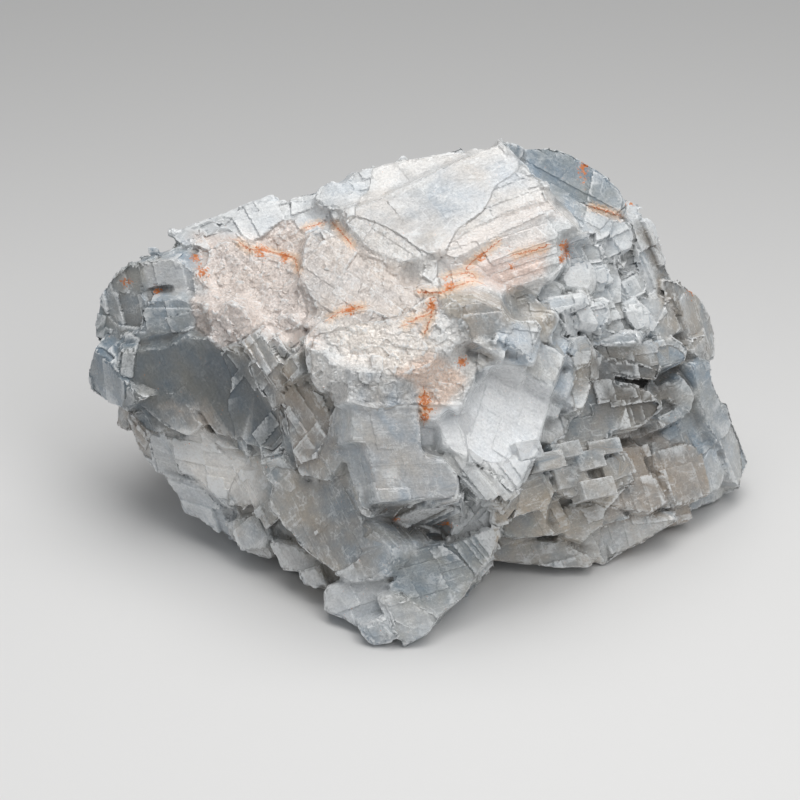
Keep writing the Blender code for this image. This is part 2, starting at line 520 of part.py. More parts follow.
def filled_cells(name, hulls, middles, places, dice):
    """Which blocks of a grain are stone: those of the grain's own space that lie just inside the lumps."""
    middle = grain_frame(name)[0]
    starts = [np.array(p[:-1]) for p in places]
    widths = [np.diff(p) for p in places]
    flat = grid_points(name, [s + w / 2 for s, w in zip(starts, widths)])
    shown = np.ones(len(flat), dtype=bool)
    for corner in itertools.product(CORNERS, repeat=3):
        shown &= within_outline(grid_points(name, [s + w * c for s, w, c in zip(starts, widths, corner)]))
    own = np.linalg.norm(flat - np.array(middle), axis=1)
    others = np.min([np.linalg.norm(flat - m, axis=1) for m in middles], axis=0)
    height = height_above(hulls, flat)
    swell = np.array([noise.noise(Vector(p) / SWELLING) for p in flat])
    chance = np.array([dice.uniform(-0.5, 0.5) for _ in flat])
    limit = SUNK + ROUGHNESS * (swell + chance)
    stone = (height < limit) & (height > -SKIN) & (own < others + OVERLAP) & (flat[:, 2] > DEEPEST) & shown
    return stone.reshape([len(s) for s in starts])


def close_diagonals(cells):
    """Fills a block wherever two others touch only along an edge."""
    for _ in range(4):
        for a, b in ((0, 1), (0, 2), (1, 2)):
            s = np.moveaxis(cells, (a, b), (0, 1))
            crossed = s[:-1, :-1] & s[1:, 1:] & ~s[1:, :-1] & ~s[:-1, 1:]
            s[1:, :-1] |= crossed
            crossed = s[1:, :-1] & s[:-1, 1:] & ~s[:-1, :-1] & ~s[1:, 1:]
            s[:-1, :-1] |= crossed


def steps(name, hulls, middles, dice):
    """A grain's blocks as a closed mesh of cleavage steps."""
    spacings = GRAINS[name][3]
    places = [ticks(spacing, REACH, dice) for spacing in spacings]
    cells = np.pad(filled_cells(name, hulls, middles, places, dice), 1)
    close_diagonals(cells)
    places = [[p[0]] + p + [p[-1]] for p in places]
    middle, edges = grain_frame(name)
    shape = bmesh.new()
    corners = {}

    def corner(index):
        if index not in corners:
            offset = sum((e * p[i] for e, p, i in zip(edges, places, index)), Vector())
            corners[index] = shape.verts.new((middle + offset) * MM)
        return corners[index]

    for cell in zip(*np.nonzero(cells)):
        for axis in range(3):
            for side in (0, 1):
                beyond = list(cell)
                beyond[axis] += 2 * side - 1
                if cells[tuple(beyond)]:
                    continue
                a, b = (i for i in range(3) if i != axis)
                ring = []
                for da, db in ((0, 0), (1, 0), (1, 1), (0, 1)):
                    index = [int(i) for i in cell]
                    index[axis] += side
                    index[a] += da
                    index[b] += db
                    ring.append(corner(tuple(index)))
                shape.faces.new(ring)
    bmesh.ops.recalc_face_normals(shape, faces=shape.faces)
    return shape


def add_object(name, shape):
    mesh = bpy.data.meshes.new(name)
    shape.to_mesh(mesh)
    shape.free()
    made = bpy.data.objects.new(name, mesh)
    bpy.context.scene.collection.objects.link(made)
    return made


def apply_boolean(target, operation, pieces):
    """Joins or cuts target with the pieces, which are then removed."""
    group = bpy.data.collections.new("pieces")
    for piece in pieces:
        group.objects.link(piece)
    change = target.modifiers.new(operation.lower(), "BOOLEAN")
    change.operation = operation
    change.solver = "EXACT"
    change.operand_type = "COLLECTION"
    change.collection = group
    graph = bpy.context.evaluated_depsgraph_get()
    result = bpy.data.meshes.new_from_object(target.evaluated_get(graph))
    target.modifiers.clear()
    target.data = result
    for piece in pieces:
        bpy.data.objects.remove(piece)
    bpy.data.collections.remove(group)


def skins(shape):
    """The faces of each closed skin. Skins that meet at a point only are apart."""
    left = set(shape.faces)
    found = []
    while left:
        front = [left.pop()]
        skin = set(front)
        while front:
            edges = {e for face in front for e in face.edges if e.is_manifold}
            beside = {f for e in edges for f in e.link_faces} & left
            left -= beside
            skin |= beside
            front = list(beside)
        found.append(skin)
    return found


def paint(stone):
    """Pale blue-grey, a little glossy, not metallic."""
    material = bpy.data.materials.new("blue_calcite")
    material.use_nodes = True
    surface = material.node_tree.nodes["Principled BSDF"]
    surface.inputs["Base Color"].default_value = STONE_COLOUR
    surface.inputs["Roughness"].default_value = STONE_ROUGHNESS
    surface.inputs["Metallic"].default_value = 0.0
    stone.data.materials.clear()
    stone.data.materials.append(material)


def cut_underside(stone):
    """Cuts off what lies under the floor."""
    box = bmesh.new()
    bmesh.ops.create_cube(box, size=1.0)
    for vert in box.verts:
        vert.co = (vert.co * CUTTER + Vector((ORIGIN.x, ORIGIN.y, FLOOR - CUTTER / 2))) * MM
    apply_boolean(stone, "DIFFERENCE", [add_object("floor", box)])


def tidy(stone):
    """Joins faces of one plane, keeps the outer skin only and moves the origin to the middle of the underside."""
    shape = bmesh.new()
    shape.from_mesh(stone.data)
    bmesh.ops.remove_doubles(shape, verts=shape.verts, dist=SAME_POINT * MM)
    bmesh.ops.dissolve_limit(shape, angle_limit=SAME_PLANE, verts=shape.verts, edges=shape.edges)
    bmesh.ops.triangulate(shape, faces=shape.faces)
    outer = max(skins(shape), key=len)
    bmesh.ops.delete(shape, geom=[f for f in shape.faces if f not in outer], context="FACES")
    bmesh.ops.translate(shape, verts=shape.verts, vec=-ORIGIN * MM)
    shape.to_mesh(stone.data)
    shape.free()


def main():
    for old in list(bpy.data.objects):
        bpy.data.objects.remove(old)
    lumps = [hull_of(lump_points(name)) for name in LUMPS]
    core = tree_of(lumps)
    hulls = [walls_of(shape) for shape in lumps]
    middles = [np.array(grain_frame(name)[0]) for name in GRAINS]
    dice = random.Random(7)
    cores = [add_object(name, hull_of(shrunk(lump_points(name), SHRINK))) for name in LUMPS]
    blocks = [add_object(name, steps(name, hulls, middles, dice)) for name in GRAINS]
    stone = cores[0]
    stone.name = "calcite"
    apply_boolean(stone, "UNION", cores[1:] + blocks)
    apply_boolean(stone, "DIFFERENCE", [add_object(name, clearing(core, name)) for name in CLEAN])
    apply_boolean(stone, "UNION", [add_object(name, plate(core, name)) for name in PLATES])
    cut_underside(stone)
    tidy(stone)
    paint(stone)


main()
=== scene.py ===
"""The looks of a rough piece of blue calcite: fine cleavage steps, colour, veins, light and camera.

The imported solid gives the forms. Its surface is made again as a fine mesh, broken into small steps on the
cleavage planes of each grain, and coloured by areas that are named in pixels of the photograph. Lengths are
in millimetres unless a name says otherwise. Blender's own data is in metres.
"""

import itertools
import json
import math
import random

import bmesh
import bpy
import numpy as np
from mathutils import Matrix, Vector
from mathutils.bvhtree import BVHTree

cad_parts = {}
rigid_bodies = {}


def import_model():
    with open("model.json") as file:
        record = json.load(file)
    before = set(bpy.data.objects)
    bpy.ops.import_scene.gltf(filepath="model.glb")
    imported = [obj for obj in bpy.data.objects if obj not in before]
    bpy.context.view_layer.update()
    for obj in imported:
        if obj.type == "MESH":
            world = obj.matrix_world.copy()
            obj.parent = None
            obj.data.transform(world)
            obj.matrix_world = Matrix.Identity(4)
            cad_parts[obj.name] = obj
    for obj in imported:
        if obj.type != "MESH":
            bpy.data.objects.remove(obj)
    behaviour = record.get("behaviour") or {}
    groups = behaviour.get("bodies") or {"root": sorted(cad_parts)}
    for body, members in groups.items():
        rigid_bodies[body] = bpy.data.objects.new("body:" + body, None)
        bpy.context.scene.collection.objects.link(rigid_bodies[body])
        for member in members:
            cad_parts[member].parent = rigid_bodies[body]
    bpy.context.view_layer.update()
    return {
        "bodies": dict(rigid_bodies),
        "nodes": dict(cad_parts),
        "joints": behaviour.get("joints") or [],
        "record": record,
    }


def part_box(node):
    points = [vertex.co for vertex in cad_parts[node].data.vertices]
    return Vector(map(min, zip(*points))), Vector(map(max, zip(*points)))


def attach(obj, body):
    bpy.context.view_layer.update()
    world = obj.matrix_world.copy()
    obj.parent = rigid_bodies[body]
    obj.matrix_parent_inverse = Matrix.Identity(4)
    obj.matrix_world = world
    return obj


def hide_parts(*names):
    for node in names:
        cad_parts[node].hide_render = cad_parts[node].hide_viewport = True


MM = 0.001
FAR = 1e9               # mm or pixels: further than anything

# The photograph's view, as in the part: pixels of an 800 x 800 frame, and its tilt, distance and target.
FRAME_CENTRE = 400.0
VIEW_TILT = math.radians(34.0)
VIEW_DISTANCE = 900.0
ORIGIN = Vector((5.87, 55.9, 0.6))
VIEW_TARGET = Vector((0.0, 20.0, 61.0)) - ORIGIN
PIXELS_PER_RADIAN = 660.0 / 160.0 * VIEW_DISTANCE
SENSOR = 36.0

FORWARD = Vector((0.0, math.cos(VIEW_TILT), -math.sin(VIEW_TILT)))
UPWARD = Vector((0.0, math.sin(VIEW_TILT), math.cos(VIEW_TILT)))
EYE = VIEW_TARGET - FORWARD * VIEW_DISTANCE

BOX_FACES = ((0, 1, 3, 2), (4, 6, 7, 5), (0, 4, 5, 1), (2, 3, 7, 6), (0, 2, 6, 4), (1, 5, 7, 3))
EDGE_ANGLE = math.radians(101.9)  # between two edges of a cleavage block

# Kinds of broken surface, in mm: the length and breadth of its terraces, the height of one step and how much
# they swell, and then how deep its edges are chipped.
SURFACES = {
    "sheet": ((16.0, 2.4, 0.10, 0.22), 0.25),
    "smooth": ((7.0, 4.0, 0.12, 0.22), 0.25),
    "plated": ((8.5, 3.4, 0.25, 0.50), 0.5),
    "stepped": ((6.0, 3.0, 0.40, 0.80), 0.6),
    "blocky": ((5.8, 4.0, 0.60, 1.20), 0.2),
    "crumbly": ((3.0, 2.0, 0.20, 0.30), 0.3),
    "striped": ((14.0, 1.7, 0.20, 0.55), 0.3),
    "rods": ((18.0, 1.9, 0.45, 1.40), 0.3),
}

# The grains: middle (pixel x, pixel y, depth, or a Vector where the photograph doesn't show it), the way one
# cleavage plane faces (heading, tilt), the way one edge runs (two pixels, or a Vector), and kind of surface.
GRAINS = {
    "top": ((430, 195, 70), (-28, 25), ((343, 210), (497, 144)), "sheet"),
    "crown": ((330, 200, 84), (-25, 32), ((318, 186), (400, 160)), "stepped"),
    "left_crown": ((235, 220, 80), (-30, 32), ((185, 228), (258, 200)), "stepped"),
    "strips": ((520, 235, 52), (-12, 30), ((440, 285), (560, 245)), "striped"),
    "pink": ((250, 275, 62), (-35, 38), ((212, 290), (262, 252)), "crumbly"),
    "white": ((365, 285, 44), (-28, 32), ((318, 240), (420, 310)), "striped"),
    "brow": ((400, 355, 28), (5, 50), ((345, 360), (425, 374)), "crumbly"),
    "knob": ((480, 322, 42), (-20, 58), ((458, 305), (500, 304)), "plated"),
    "prism": ((400, 450, 16), (15, 62), ((364, 440), (458, 436)), "smooth"),
    "bright": ((500, 400, 34), (22, 46), ((497, 355), (553, 391)), "smooth"),
    "rods": ((480, 490, 22), (-4, 62), ((447, 451), (490, 506)), "rods"),
    "stack": ((590, 300, 54), (18, 56), ((562, 313), (605, 303)), "blocky"),
    "stack_end": ((640, 270, 66), (38, 50), ((600, 262), (645, 240)), "blocky"),
    "shoulder": ((585, 175, 78), (30, 38), ((520, 165), (590, 204)), "plated"),
    "flank": ((695, 320, 74), (62, 64), ((655, 226), (700, 356)), "plated"),
    "front": ((615, 385, 46), (28, 62), ((600, 358), (660, 350)), "stepped"),
    "front_end": ((690, 400, 62), (44, 66), ((662, 390), (697, 372)), "plated"),
    "low_right": ((660, 470, 50), (36, 62), ((620, 448), (700, 430)), "plated"),
    "edge_right": ((735, 470, 66), (60, 74), ((714, 384), (746, 470)), "plated"),
    "fan": ((550, 500, 30), (14, 66), ((500, 520), (560, 500)), "striped"),
    "toe": ((410, 600, 6), (12, 54), ((394, 560), (450, 544)), "plated"),
    "low_left": ((310, 520, 26), (-28, 72), ((298, 482), (350, 582)), "plated"),
    "cleft": ((300, 400, 40), (-30, 68), ((240, 342), (300, 440)), "stepped"),
    "dark": ((195, 385, 56), (-22, 77), ((240, 342), (300, 440)), "sheet"),
    "left_head": ((160, 290, 72), (-27, 68), ((142, 302), (200, 303)), "stepped"),
    "left_end": ((100, 345, 70), (-60, 80), ((103, 290), (95, 390)), "stepped"),
    "left_foot": ((190, 470, 50), (-30, 84), ((163, 436), (240, 456)), "stepped"),
    "back_left": (Vector((-58, 95, 55)), (-140, 66), Vector((1, 0.5, -0.4)), "stepped"),
    "back": (Vector((-10, 108, 50)), (170, 68), Vector((1, 0, 0.5)), "plated"),
    "back_right": (Vector((55, 100, 40)), (135, 72), Vector((1, 1, 0.3)), "stepped"),
    "back_top": (Vector((15, 100, 82)), (160, 34), Vector((1, 0.2, 0)), "plated"),
    "back_low": (Vector((0, 100, 12)), (178, 100), Vector((1, 0, -0.4)), "stepped"),
    "under": (Vector((0, 55, 2)), (20, 172), Vector((1, 0.3, 0)), "plated"),
    "under_left": (Vector((-58, 62, 22)), (-70, 130), Vector((0.3, 1, 0)), "stepped"),
}
# Grains that are a mass of small crystals in their form, and in the light and dark of their material.
SUGAR = {"pink": 1.0, "brow": 1.0, "white": 0.4, "strips": 0.2}
SPECKLED = {"pink": 1.0, "brow": 1.0, "white": 0.6, "strips": 0.3, "top": 0.2, "bright": 0.35, "prism": 0.2}
LEAST_SPECKLED = 0.1    # all the others
SUGAR_GRAINS = ((3.2, 0.25, 0.16), (1.5, 0.12, 0.14))  # mm wide, how far they stand, how much they tilt
LEAST_SUGAR = 0.02      # a smaller share of sugar isn't modelled
GRAIN_WANDER = 3.0      # mm by which the border between two grains wanders
WANDER_LUMPS = 9.0      # mm from one bend of that border to the next

VOXEL = 0.37            # mm between the fine mesh's points
MOST_TRIANGLES = 196000
UNEVEN = 0.5            # how unevenly a grain's planes are spaced
REACH = 75.0            # mm from a grain's middle to its last plane
SWELL_LUMPS = 11.0      # mm: how broad the swells under the terraces are
OWN_CHANCE = 0.35       # how much a terrace's height is its own, beside the swell's
SUNK = 0.5              # how far terraces lie below the solid's surface, as a share of the swell
LEVEL = 3.0             # mm between levels that have terraces of their own
CHIP = (1.7, 1.3, 0.2)  # mm: length, breadth and step of the chips along edges
CHIP_GAIN = 1.4         # how soon a worn edge is chipped
LEANING = 0.7           # cosine beyond which the surface no longer follows the solid's facet under it
FOOT = (0.2, 1.5)       # mm above the floor where the steps begin, and over which they grow
FADE = (1.6, 0.5)       # steps fade off the solid: their level on it, and the mm over which they lose one
BOX_MARGIN = 0.05       # mm inside the solid's box that crumbs stay
SIGHT_START = 2.0       # mm off the surface where a line of sight begins

# What tells edges that chip, edges that are worn and pale with a painted highlight, and hollows that get
# painted
# shade: how often the surface is evened out, and how far out of that (mm, below nought for inwards) a point
# counts in full.
CHIPPED = (14, 0.25)
EDGE_WEAR_AND_HIGHLIGHT = (8, 0.22)
HOLLOW = (80, -1.2)

CRUMB_PLACES = 780      # where a crumb may stand
CRUMB_CHANCES = {"crumbly": 0.8, "blocky": 0.2, "stepped": 0.3, "striped": 0.15, "plated": 0.12}
LEAST_CHANCE = 0.03
CRUMB_SIZE = 1.3        # mm
CRUMB_SPREAD = (0.35, 0.4)  # of their sizes, as a share of that: its logarithm's middle and spread
LARGEST_CRUMB = 4.0     # mm
CRUMB_FLOOR = 2.0       # mm above the floor where crumbs begin
SMALLEST_FACE = 1e-7    # square metres

HEALED = ("top", "crown", "left_crown", "strips", "white", "pink", "brow", "knob")  # grown together
HEALING = 1.8           # mm: half the width of the grooves that are closed in them
HEALED_ROUNDS = 10      # how often the healed surface is evened out
SHARP = math.radians(20.0)

# Colours of the stone, as linear red, green and blue.
WHITE = (0.74, 0.73, 0.715)
PINK = (0.80, 0.71, 0.66)
ROSE = (0.80, 0.64, 0.57)
PALE = (0.62, 0.645, 0.665)
ICE = (0.54, 0.57, 0.59)
BLUE = (0.38, 0.42, 0.45)
STEEL = (0.22, 0.265, 0.30)
SLATE = (0.185, 0.205, 0.215)
GREY = (0.44, 0.435, 0.42)
BEIGE = (0.41, 0.375, 0.34)
DUN = (0.86, 0.69, 0.59)
DARK = (0.19, 0.19, 0.185)

# Colours that the material lays over those, with an opacity of one.
WARM = (1.10, 1.01, 0.90, 1.0)
COOL = (0.74, 0.86, 0.98, 1.0)
# pale colour of flecks and hairlines, and of the specks that are painted glints
CHALK_AND_GLINT = (0.82, 0.84, 0.85, 1.0)
# pale edge colour: partly the white of broken calcite, partly a painted highlight along the edges
BROKEN_EDGE_AND_HIGHLIGHT = (0.84, 0.86, 0.87, 1.0)
# painted shade: the dark colour laid into the hollows
PAINTED_HOLLOW_SHADE = (0.12, 0.115, 0.105, 1.0)
STAIN = (0.88, 0.50, 0.22, 1.0)
RUST = (0.62, 0.17, 0.012, 1.0)
DEEP_RUST = (0.56, 0.125, 0.008, 1.0)

GRAIN_COLOURS = {
    "top": WHITE, "crown": PALE, "left_crown": PALE, "strips": WHITE, "pink": PINK, "white": WHITE,
    "brow": WHITE, "knob": GREY, "prism": ICE, "bright": PALE, "rods": PALE, "stack": ICE, "stack_end": PALE,
    "shoulder": BLUE, "flank": GREY, "front": GREY, "front_end": BLUE, "low_right": BEIGE, "edge_right": ICE,
    "fan": GREY, "toe": ICE, "low_left": GREY, "cleft": GREY, "dark": SLATE, "left_head": BLUE,
    "left_end": STEEL, "left_foot": PALE, "back_left": BLUE, "back": GREY, "back_right": ICE,
    "back_top": PALE, "back_low": GREY, "under": GREY, "under_left": BEIGE,
}

# Areas that the photograph shows in another colour: outline and colour, and how many pixels the border takes.
AREAS = {
    "top plate": (((318, 240), (343, 208), (478, 148), (536, 176), (502, 214), (440, 254), (372, 252)),
                  (0.645, 0.63, 0.615), 12),
    "blue in the plate": (((400, 190), (440, 172), (472, 196), (440, 220), (412, 214)),
                          (0.55, 0.60, 0.65), 24),
    "blue at its corner": (((484, 160), (516, 162), (526, 182), (494, 192)), (0.58, 0.62, 0.66), 16),
    "shoulder": (((514, 146), (566, 148), (606, 176), (624, 212), (584, 206), (540, 180)), STEEL, 3),
    "strips": (((437, 250), (500, 212), (546, 196), (575, 221), (562, 262), (500, 290), (450, 290)),
               (0.745, 0.70, 0.67), 8),
    "pink ledge": (((466, 270), (550, 240), (576, 240), (562, 266), (500, 292)), ROSE, 8),
    "pink field": (((194, 232), (262, 236), (300, 262), (318, 300), (322, 348), (278, 346), (236, 310),
                    (200, 272)), PINK, 10),
    "white field": (((300, 235), (345, 235), (440, 290), (430, 330), (400, 340), (340, 335), (312, 320),
                     (305, 290)), (0.69, 0.63, 0.59), 12),
    "brow": (((318, 322), (400, 322), (440, 345), (420, 372), (345, 362)), (0.97, 0.90, 0.84), 8),
    "lip": (((392, 372), (430, 352), (468, 378), (440, 412), (420, 420), (405, 410)), DUN, 6),
    "knob": (((458, 300), (500, 304), (512, 332), (480, 344), (460, 330)), (0.47, 0.44, 0.405), 6),
    "slate face": (((118, 350), (200, 335), (255, 370), (288, 440), (250, 445), (200, 412), (140, 390)),
                   SLATE, 4),
    "slate core": (((205, 350), (246, 366), (276, 432), (246, 432), (196, 384)), (0.13, 0.15, 0.165), 22),
    "left slab": (((142, 262), (178, 260), (208, 296), (150, 290)), (0.62, 0.64, 0.66), 6),
    "beige facets": (((155, 405), (205, 405), (235, 440), (200, 432)), BEIGE, 6),
    "long plane": (((240, 338), (300, 380), (335, 420), (340, 460), (300, 472), (285, 430), (262, 380)),
                   (0.40, 0.375, 0.35), 6),
    "left column": (((105, 290), (125, 262), (142, 280), (136, 335), (112, 342)), (0.33, 0.35, 0.36), 5),
    "left chip": (((98, 385), (125, 388), (122, 412), (104, 405)), ICE, 4),
    "left foot": (((160, 432), (206, 428), (262, 474), (258, 506), (200, 486)), (0.84, 0.82, 0.79), 6),
    "low blocks": (((218, 522), (302, 545), (325, 585), (240, 550)), (0.70, 0.70, 0.695), 6),
    # painted sheen: the bright face's pale colour is raised to near white for the sheen on it
    "bright face with painted sheen": (((497, 355), (553, 391), (532, 462), (500, 470), (446, 447), (415, 430), (440, 410),
                     (470, 395)), (0.90, 0.92, 0.94), 2),
    "blue face": (((500, 318), (575, 338), (560, 392), (497, 354)), (0.50, 0.535, 0.565), 2),
    "rods": (((446, 447), (497, 470), (505, 505), (470, 520), (455, 495)), (0.66, 0.68, 0.69), 3),
    "prism": (((345, 370), (415, 380), (422, 442), (455, 478), (458, 500), (378, 500), (360, 440)),
              (0.52, 0.53, 0.54), 3),
    "foot": (((362, 506), (458, 503), (442, 540), (405, 540)), DARK, 3),
    "toe": (((385, 560), (500, 530), (488, 562), (440, 610), (400, 600)), (0.29, 0.325, 0.345), 8),
    "toe end": (((300, 580), (385, 575), (400, 625), (330, 625)), (0.62, 0.64, 0.655), 8),
    "low plane": (((296, 484), (345, 474), (388, 555), (372, 578), (308, 548)), (0.35, 0.345, 0.335), 8),
    "blocks": (((545, 220), (645, 218), (655, 345), (575, 345), (545, 300)), (0.58, 0.61, 0.63), 10),
    "broken front": (((588, 355), (662, 366), (684, 402), (640, 425), (588, 422)), DARK, 10),
    "flank": (((634, 222), (655, 232), (700, 350), (668, 318)), (0.33, 0.315, 0.295), 4),
    "fan": (((490, 498), (565, 495), (570, 540), (495, 545)), (0.50, 0.46, 0.405), 8),
    "keel": (((575, 530), (680, 512), (650, 555), (590, 572)), (0.60, 0.60, 0.59), 8),
}

# Rust-coloured veins as lines of pixels, and spots of it: pixel x, pixel y, radius in pixels.
VEINS = (
    ((240, 243), (250, 250), (262, 250), (278, 254), (295, 258), (298, 270)),
    ((330, 318), (340, 312), (352, 309), (362, 307)),
    ((420, 292), (440, 293), (460, 285), (476, 279)),
    ((445, 276), (470, 272), (480, 280)),
    ((430, 300), (432, 315), (425, 333)),
    ((405, 325), (418, 318), (432, 313)),
    ((468, 265), (480, 256), (497, 243)),
    ((515, 255), (545, 247)),
    ((335, 225), (352, 245)),
    ((305, 228), (320, 224)),
    ((424, 394), (425, 408), (424, 420)),
    ((592, 207), (606, 211), (620, 216)),
)
SPOTS = (
    (564, 246, 5), (567, 255, 4), (562, 260, 3), (512, 267, 3), (425, 400, 6), (426, 409, 4), (425, 417, 4),
    (462, 362, 5), (396, 520, 3), (447, 526, 4), (203, 272, 5), (196, 258, 4), (585, 165, 4), (692, 290, 4),
    (630, 205, 4), (125, 283, 4), (157, 292, 4), (262, 252, 6), (284, 257, 5), (432, 306, 5), (350, 310, 5),
    (450, 286, 5), (481, 257, 4),
)
VEIN_REACH = 3.0        # mm on either side of a vein that may be stained
PIXEL = 0.242           # mm, about the middle of the stone
WAVER = (2.0, 3.0)      # how far the borders of areas waver (pixels), and the size of their bends (mm)

# Cleavage blocks that cross the hollows: pixel, the grain they belong to, and size (mm) along its edges.
SLABS = (
    ((484, 346), "bright", (9.0, 4.0, 6.0)), ((500, 338), "bright", (5.0, 4.0, 5.0)),
    ((524, 452), "low_right", (7.0, 5.0, 5.0)), ((545, 462), "low_right", (8.0, 4.5, 5.0)),
    ((562, 452), "front", (8.0, 4.0, 5.0)), ((566, 478), "low_right", (9.0, 5.5, 5.0)),
    ((585, 462), "low_right", (8.0, 5.0, 5.0)), ((600, 448), "front", (9.0, 4.0, 5.0)),
    ((612, 470), "low_right", (9.0, 6.0, 5.0)), ((593, 490), "low_right", (10.0, 5.0, 5.0)),
)
SLAB_SIDE = 9.0         # pixels round a block's middle where the surface is looked for
# Thin rods under the bright face: pixels where the first and last begin, how many, and then in mm their
# lengths, width and depth, and how far out they lie.
ROD_STARTS = ((450, 455), (500, 474))
ROD_COUNT = 7
ROD_LENGTHS = (14.0, 8.0)
ROD_WIDTH = 1.9
ROD_DEPTH = 6.0
ROD_PROUD = (-0.9, 0.3)

# The studio, in metres: each light's place, target and width, its watts and its colour.
LIGHTS = {
    "overhead": ((0.02, 0.10, 0.85), (0.0, 0.0, 0.0), 0.75, 6.0, (1.0, 0.985, 0.965)),
    "front": ((0.37, -0.38, 0.73), (0.0, 0.0, 0.04), 0.45, 1.7, (1.0, 0.99, 0.975)),
}
SKY = (0.94, 0.97, 1.0, 1.0)
SKY_STRENGTH = 0.30
FLOOR_WIDTH = 4.0
# painted shade: the floor is painted darker towards the back, for the light's falloff
PAINTED_FLOOR_FALLOFF = (-0.12, 0.36, 0.72, 0.40)  # from this y to that, from this grey to that
NEAREST = 0.01          # where the camera's view begins


def seen(px, py, depth):
    """The point (mm) at that depth behind the toe which the photograph shows at a pixel."""
    across = (px - FRAME_CENTRE) / PIXELS_PER_RADIAN
    rise = (FRAME_CENTRE - py) / PIXELS_PER_RADIAN
    way = FORWARD + Vector((across, 0.0, 0.0)) + UPWARD * rise
    return EYE + way * ((depth - ORIGIN.y - EYE.y) / way.y)


def sight(px, py):
    """The direction in which the photograph's pixel looks."""
    return (seen(px, py, ORIGIN.y) - EYE).normalized()


def pixels(points):
    """Where the photograph shows each point (rows of x, y, z in mm)."""
    rays = points - np.array(EYE)
    scale = PIXELS_PER_RADIAN / (rays @ np.array(FORWARD))
    return FRAME_CENTRE + rays[:, 0] * scale, FRAME_CENTRE - (rays @ np.array(UPWARD)) * scale


def facing(heading, tilt):
    """The way out of a facet: degrees right of the viewer, then degrees from level."""
    turn, slope = math.radians(heading), math.radians(tilt)
    return Vector((math.sin(slope) * math.sin(turn), -math.sin(slope) * math.cos(turn), math.cos(slope)))


def grain_frame(name):
    """A grain's middle and, as rows, the three edges of its cleavage blocks; the third goes in."""
    middle, (heading, tilt), edge, _ = GRAINS[name]
    out = facing(heading, tilt)
    middle = middle - ORIGIN if isinstance(middle, Vector) else seen(*middle)
    if isinstance(edge, Vector):
        along = edge
    else:
        ways = [sight(*pixel) for pixel in edge]
        along = ways[1] / ways[1].dot(out) - ways[0] / ways[0].dot(out)
        along *= math.copysign(1.0, (middle - EYE).dot(out))
    first = (along - out * along.dot(out)).normalized()
    second = Matrix.Rotation(EDGE_ANGLE, 3, out) @ first
    between = (first + second).normalized()
    lean = math.cos(EDGE_ANGLE) / between.dot(first)
    third = between * lean - out * math.sqrt(1.0 - lean * lean)
    return np.array(middle), np.array([first, second, third])


def points_of(mesh):
    """The mesh's points in millimetres, one row each."""
    flat = np.empty(len(mesh.vertices) * 3, np.float32)
    mesh.vertices.foreach_get("co", flat)
    return flat.reshape(-1, 3).astype(np.float64) / MM


def set_points(mesh, points):
    mesh.vertices.foreach_set("co", (points * MM).astype(np.float32).ravel())
    mesh.update()


def normals_of(mesh):
    flat = np.empty(len(mesh.vertices) * 3, np.float32)
    mesh.vertex_normals.foreach_get("vector", flat)
    return flat.reshape(-1, 3).astype(np.float64)


def jumps(cells, seed):
    """A number from 0 to 1 for each cell (rows of three whole numbers)."""
    mixed = cells[:, 0] * 73856093 ^ cells[:, 1] * 19349663 ^ cells[:, 2] * 83492791 ^ seed * 2654435761
    mixed = (mixed ^ mixed >> 13) * 1274126177 & 0x7FFFFFFF
    return (mixed ^ mixed >> 11) % 65536 / 65535


def soft_noise(points, size, seed):
    """Soft noise from about -1 to 1 at each point, with lumps of about that size in mm."""
    places = points / size + 0.37 * seed
    base = np.floor(places).astype(np.int64)
    part = places - base
    part = part * part * (3.0 - 2.0 * part)
    total = np.zeros(len(points))
    for corner in itertools.product((0, 1), repeat=3):
        weight = np.prod(np.where(np.array(corner) == 1, part, 1.0 - part), axis=1)
        total += weight * jumps(base + np.array(corner), seed)
    return (total * 2.0 - 1.0) * 1.5


def sugary(points, size, rise, tilt, seed):
    """Heights (mm) of a surface of small grains that each end in a flat face of their own."""
    places = points / size
    base = np.floor(places).astype(np.int64)
    nearest = np.full(len(points), FAR)
    height = np.zeros(len(points))
    for corner in itertools.product((-1, 0, 1), repeat=3):
        cells = base + np.array(corner)
        chances = np.stack([jumps(cells, seed + n) for n in range(6)], axis=1)
        offset = places - cells - chances[:, :3]
        distance = (offset * offset).sum(axis=1)
        end = (chances[:, 3] - 0.5) * rise + (offset * (chances[:, 3:] - 0.5)).sum(axis=1) * tilt * size * 2.0
        height = np.where(distance < nearest, end, height)
        nearest = np.minimum(distance, nearest)
    return height


def smoothed(values, edges, rounds):
    """Values of the mesh's points, evened out with their neighbours' that many times."""
    count = len(values)
    degree = np.bincount(edges.ravel(), minlength=count)
    values = values.reshape(count, -1).copy()
    for _ in range(rounds):
        for column in range(values.shape[1]):
            total = np.bincount(edges[:, 0], values[edges[:, 1], column], count)
            total += np.bincount(edges[:, 1], values[edges[:, 0], column], count)
            values[:, column] = (values[:, column] + total / degree) / 2
    return values


def edges_of(mesh):
    flat = np.empty(len(mesh.edges) * 2, np.int32)
    mesh.edges.foreach_get("vertices", flat)
    return flat.reshape(-1, 2)


def bulge(mesh, rounds, most):
    """How far each point stands out of the evened surface (or in, for a most below nought), from 0 to 1."""
    points = points_of(mesh)
    out = ((points - smoothed(points, edges_of(mesh), rounds)) * normals_of(mesh)).sum(axis=1)
    return np.clip(out / most, 0.0, 1.0)


def planes_along(spacing, dice):
    """Uneven places of a grain's planes along one edge."""
    count = int(2.4 * REACH / spacing)
    gaps = spacing * np.array([dice.uniform(1.0 - UNEVEN, 1.0 + UNEVEN) for _ in range(count)])
    return np.cumsum(gaps) - gaps.sum() / 2


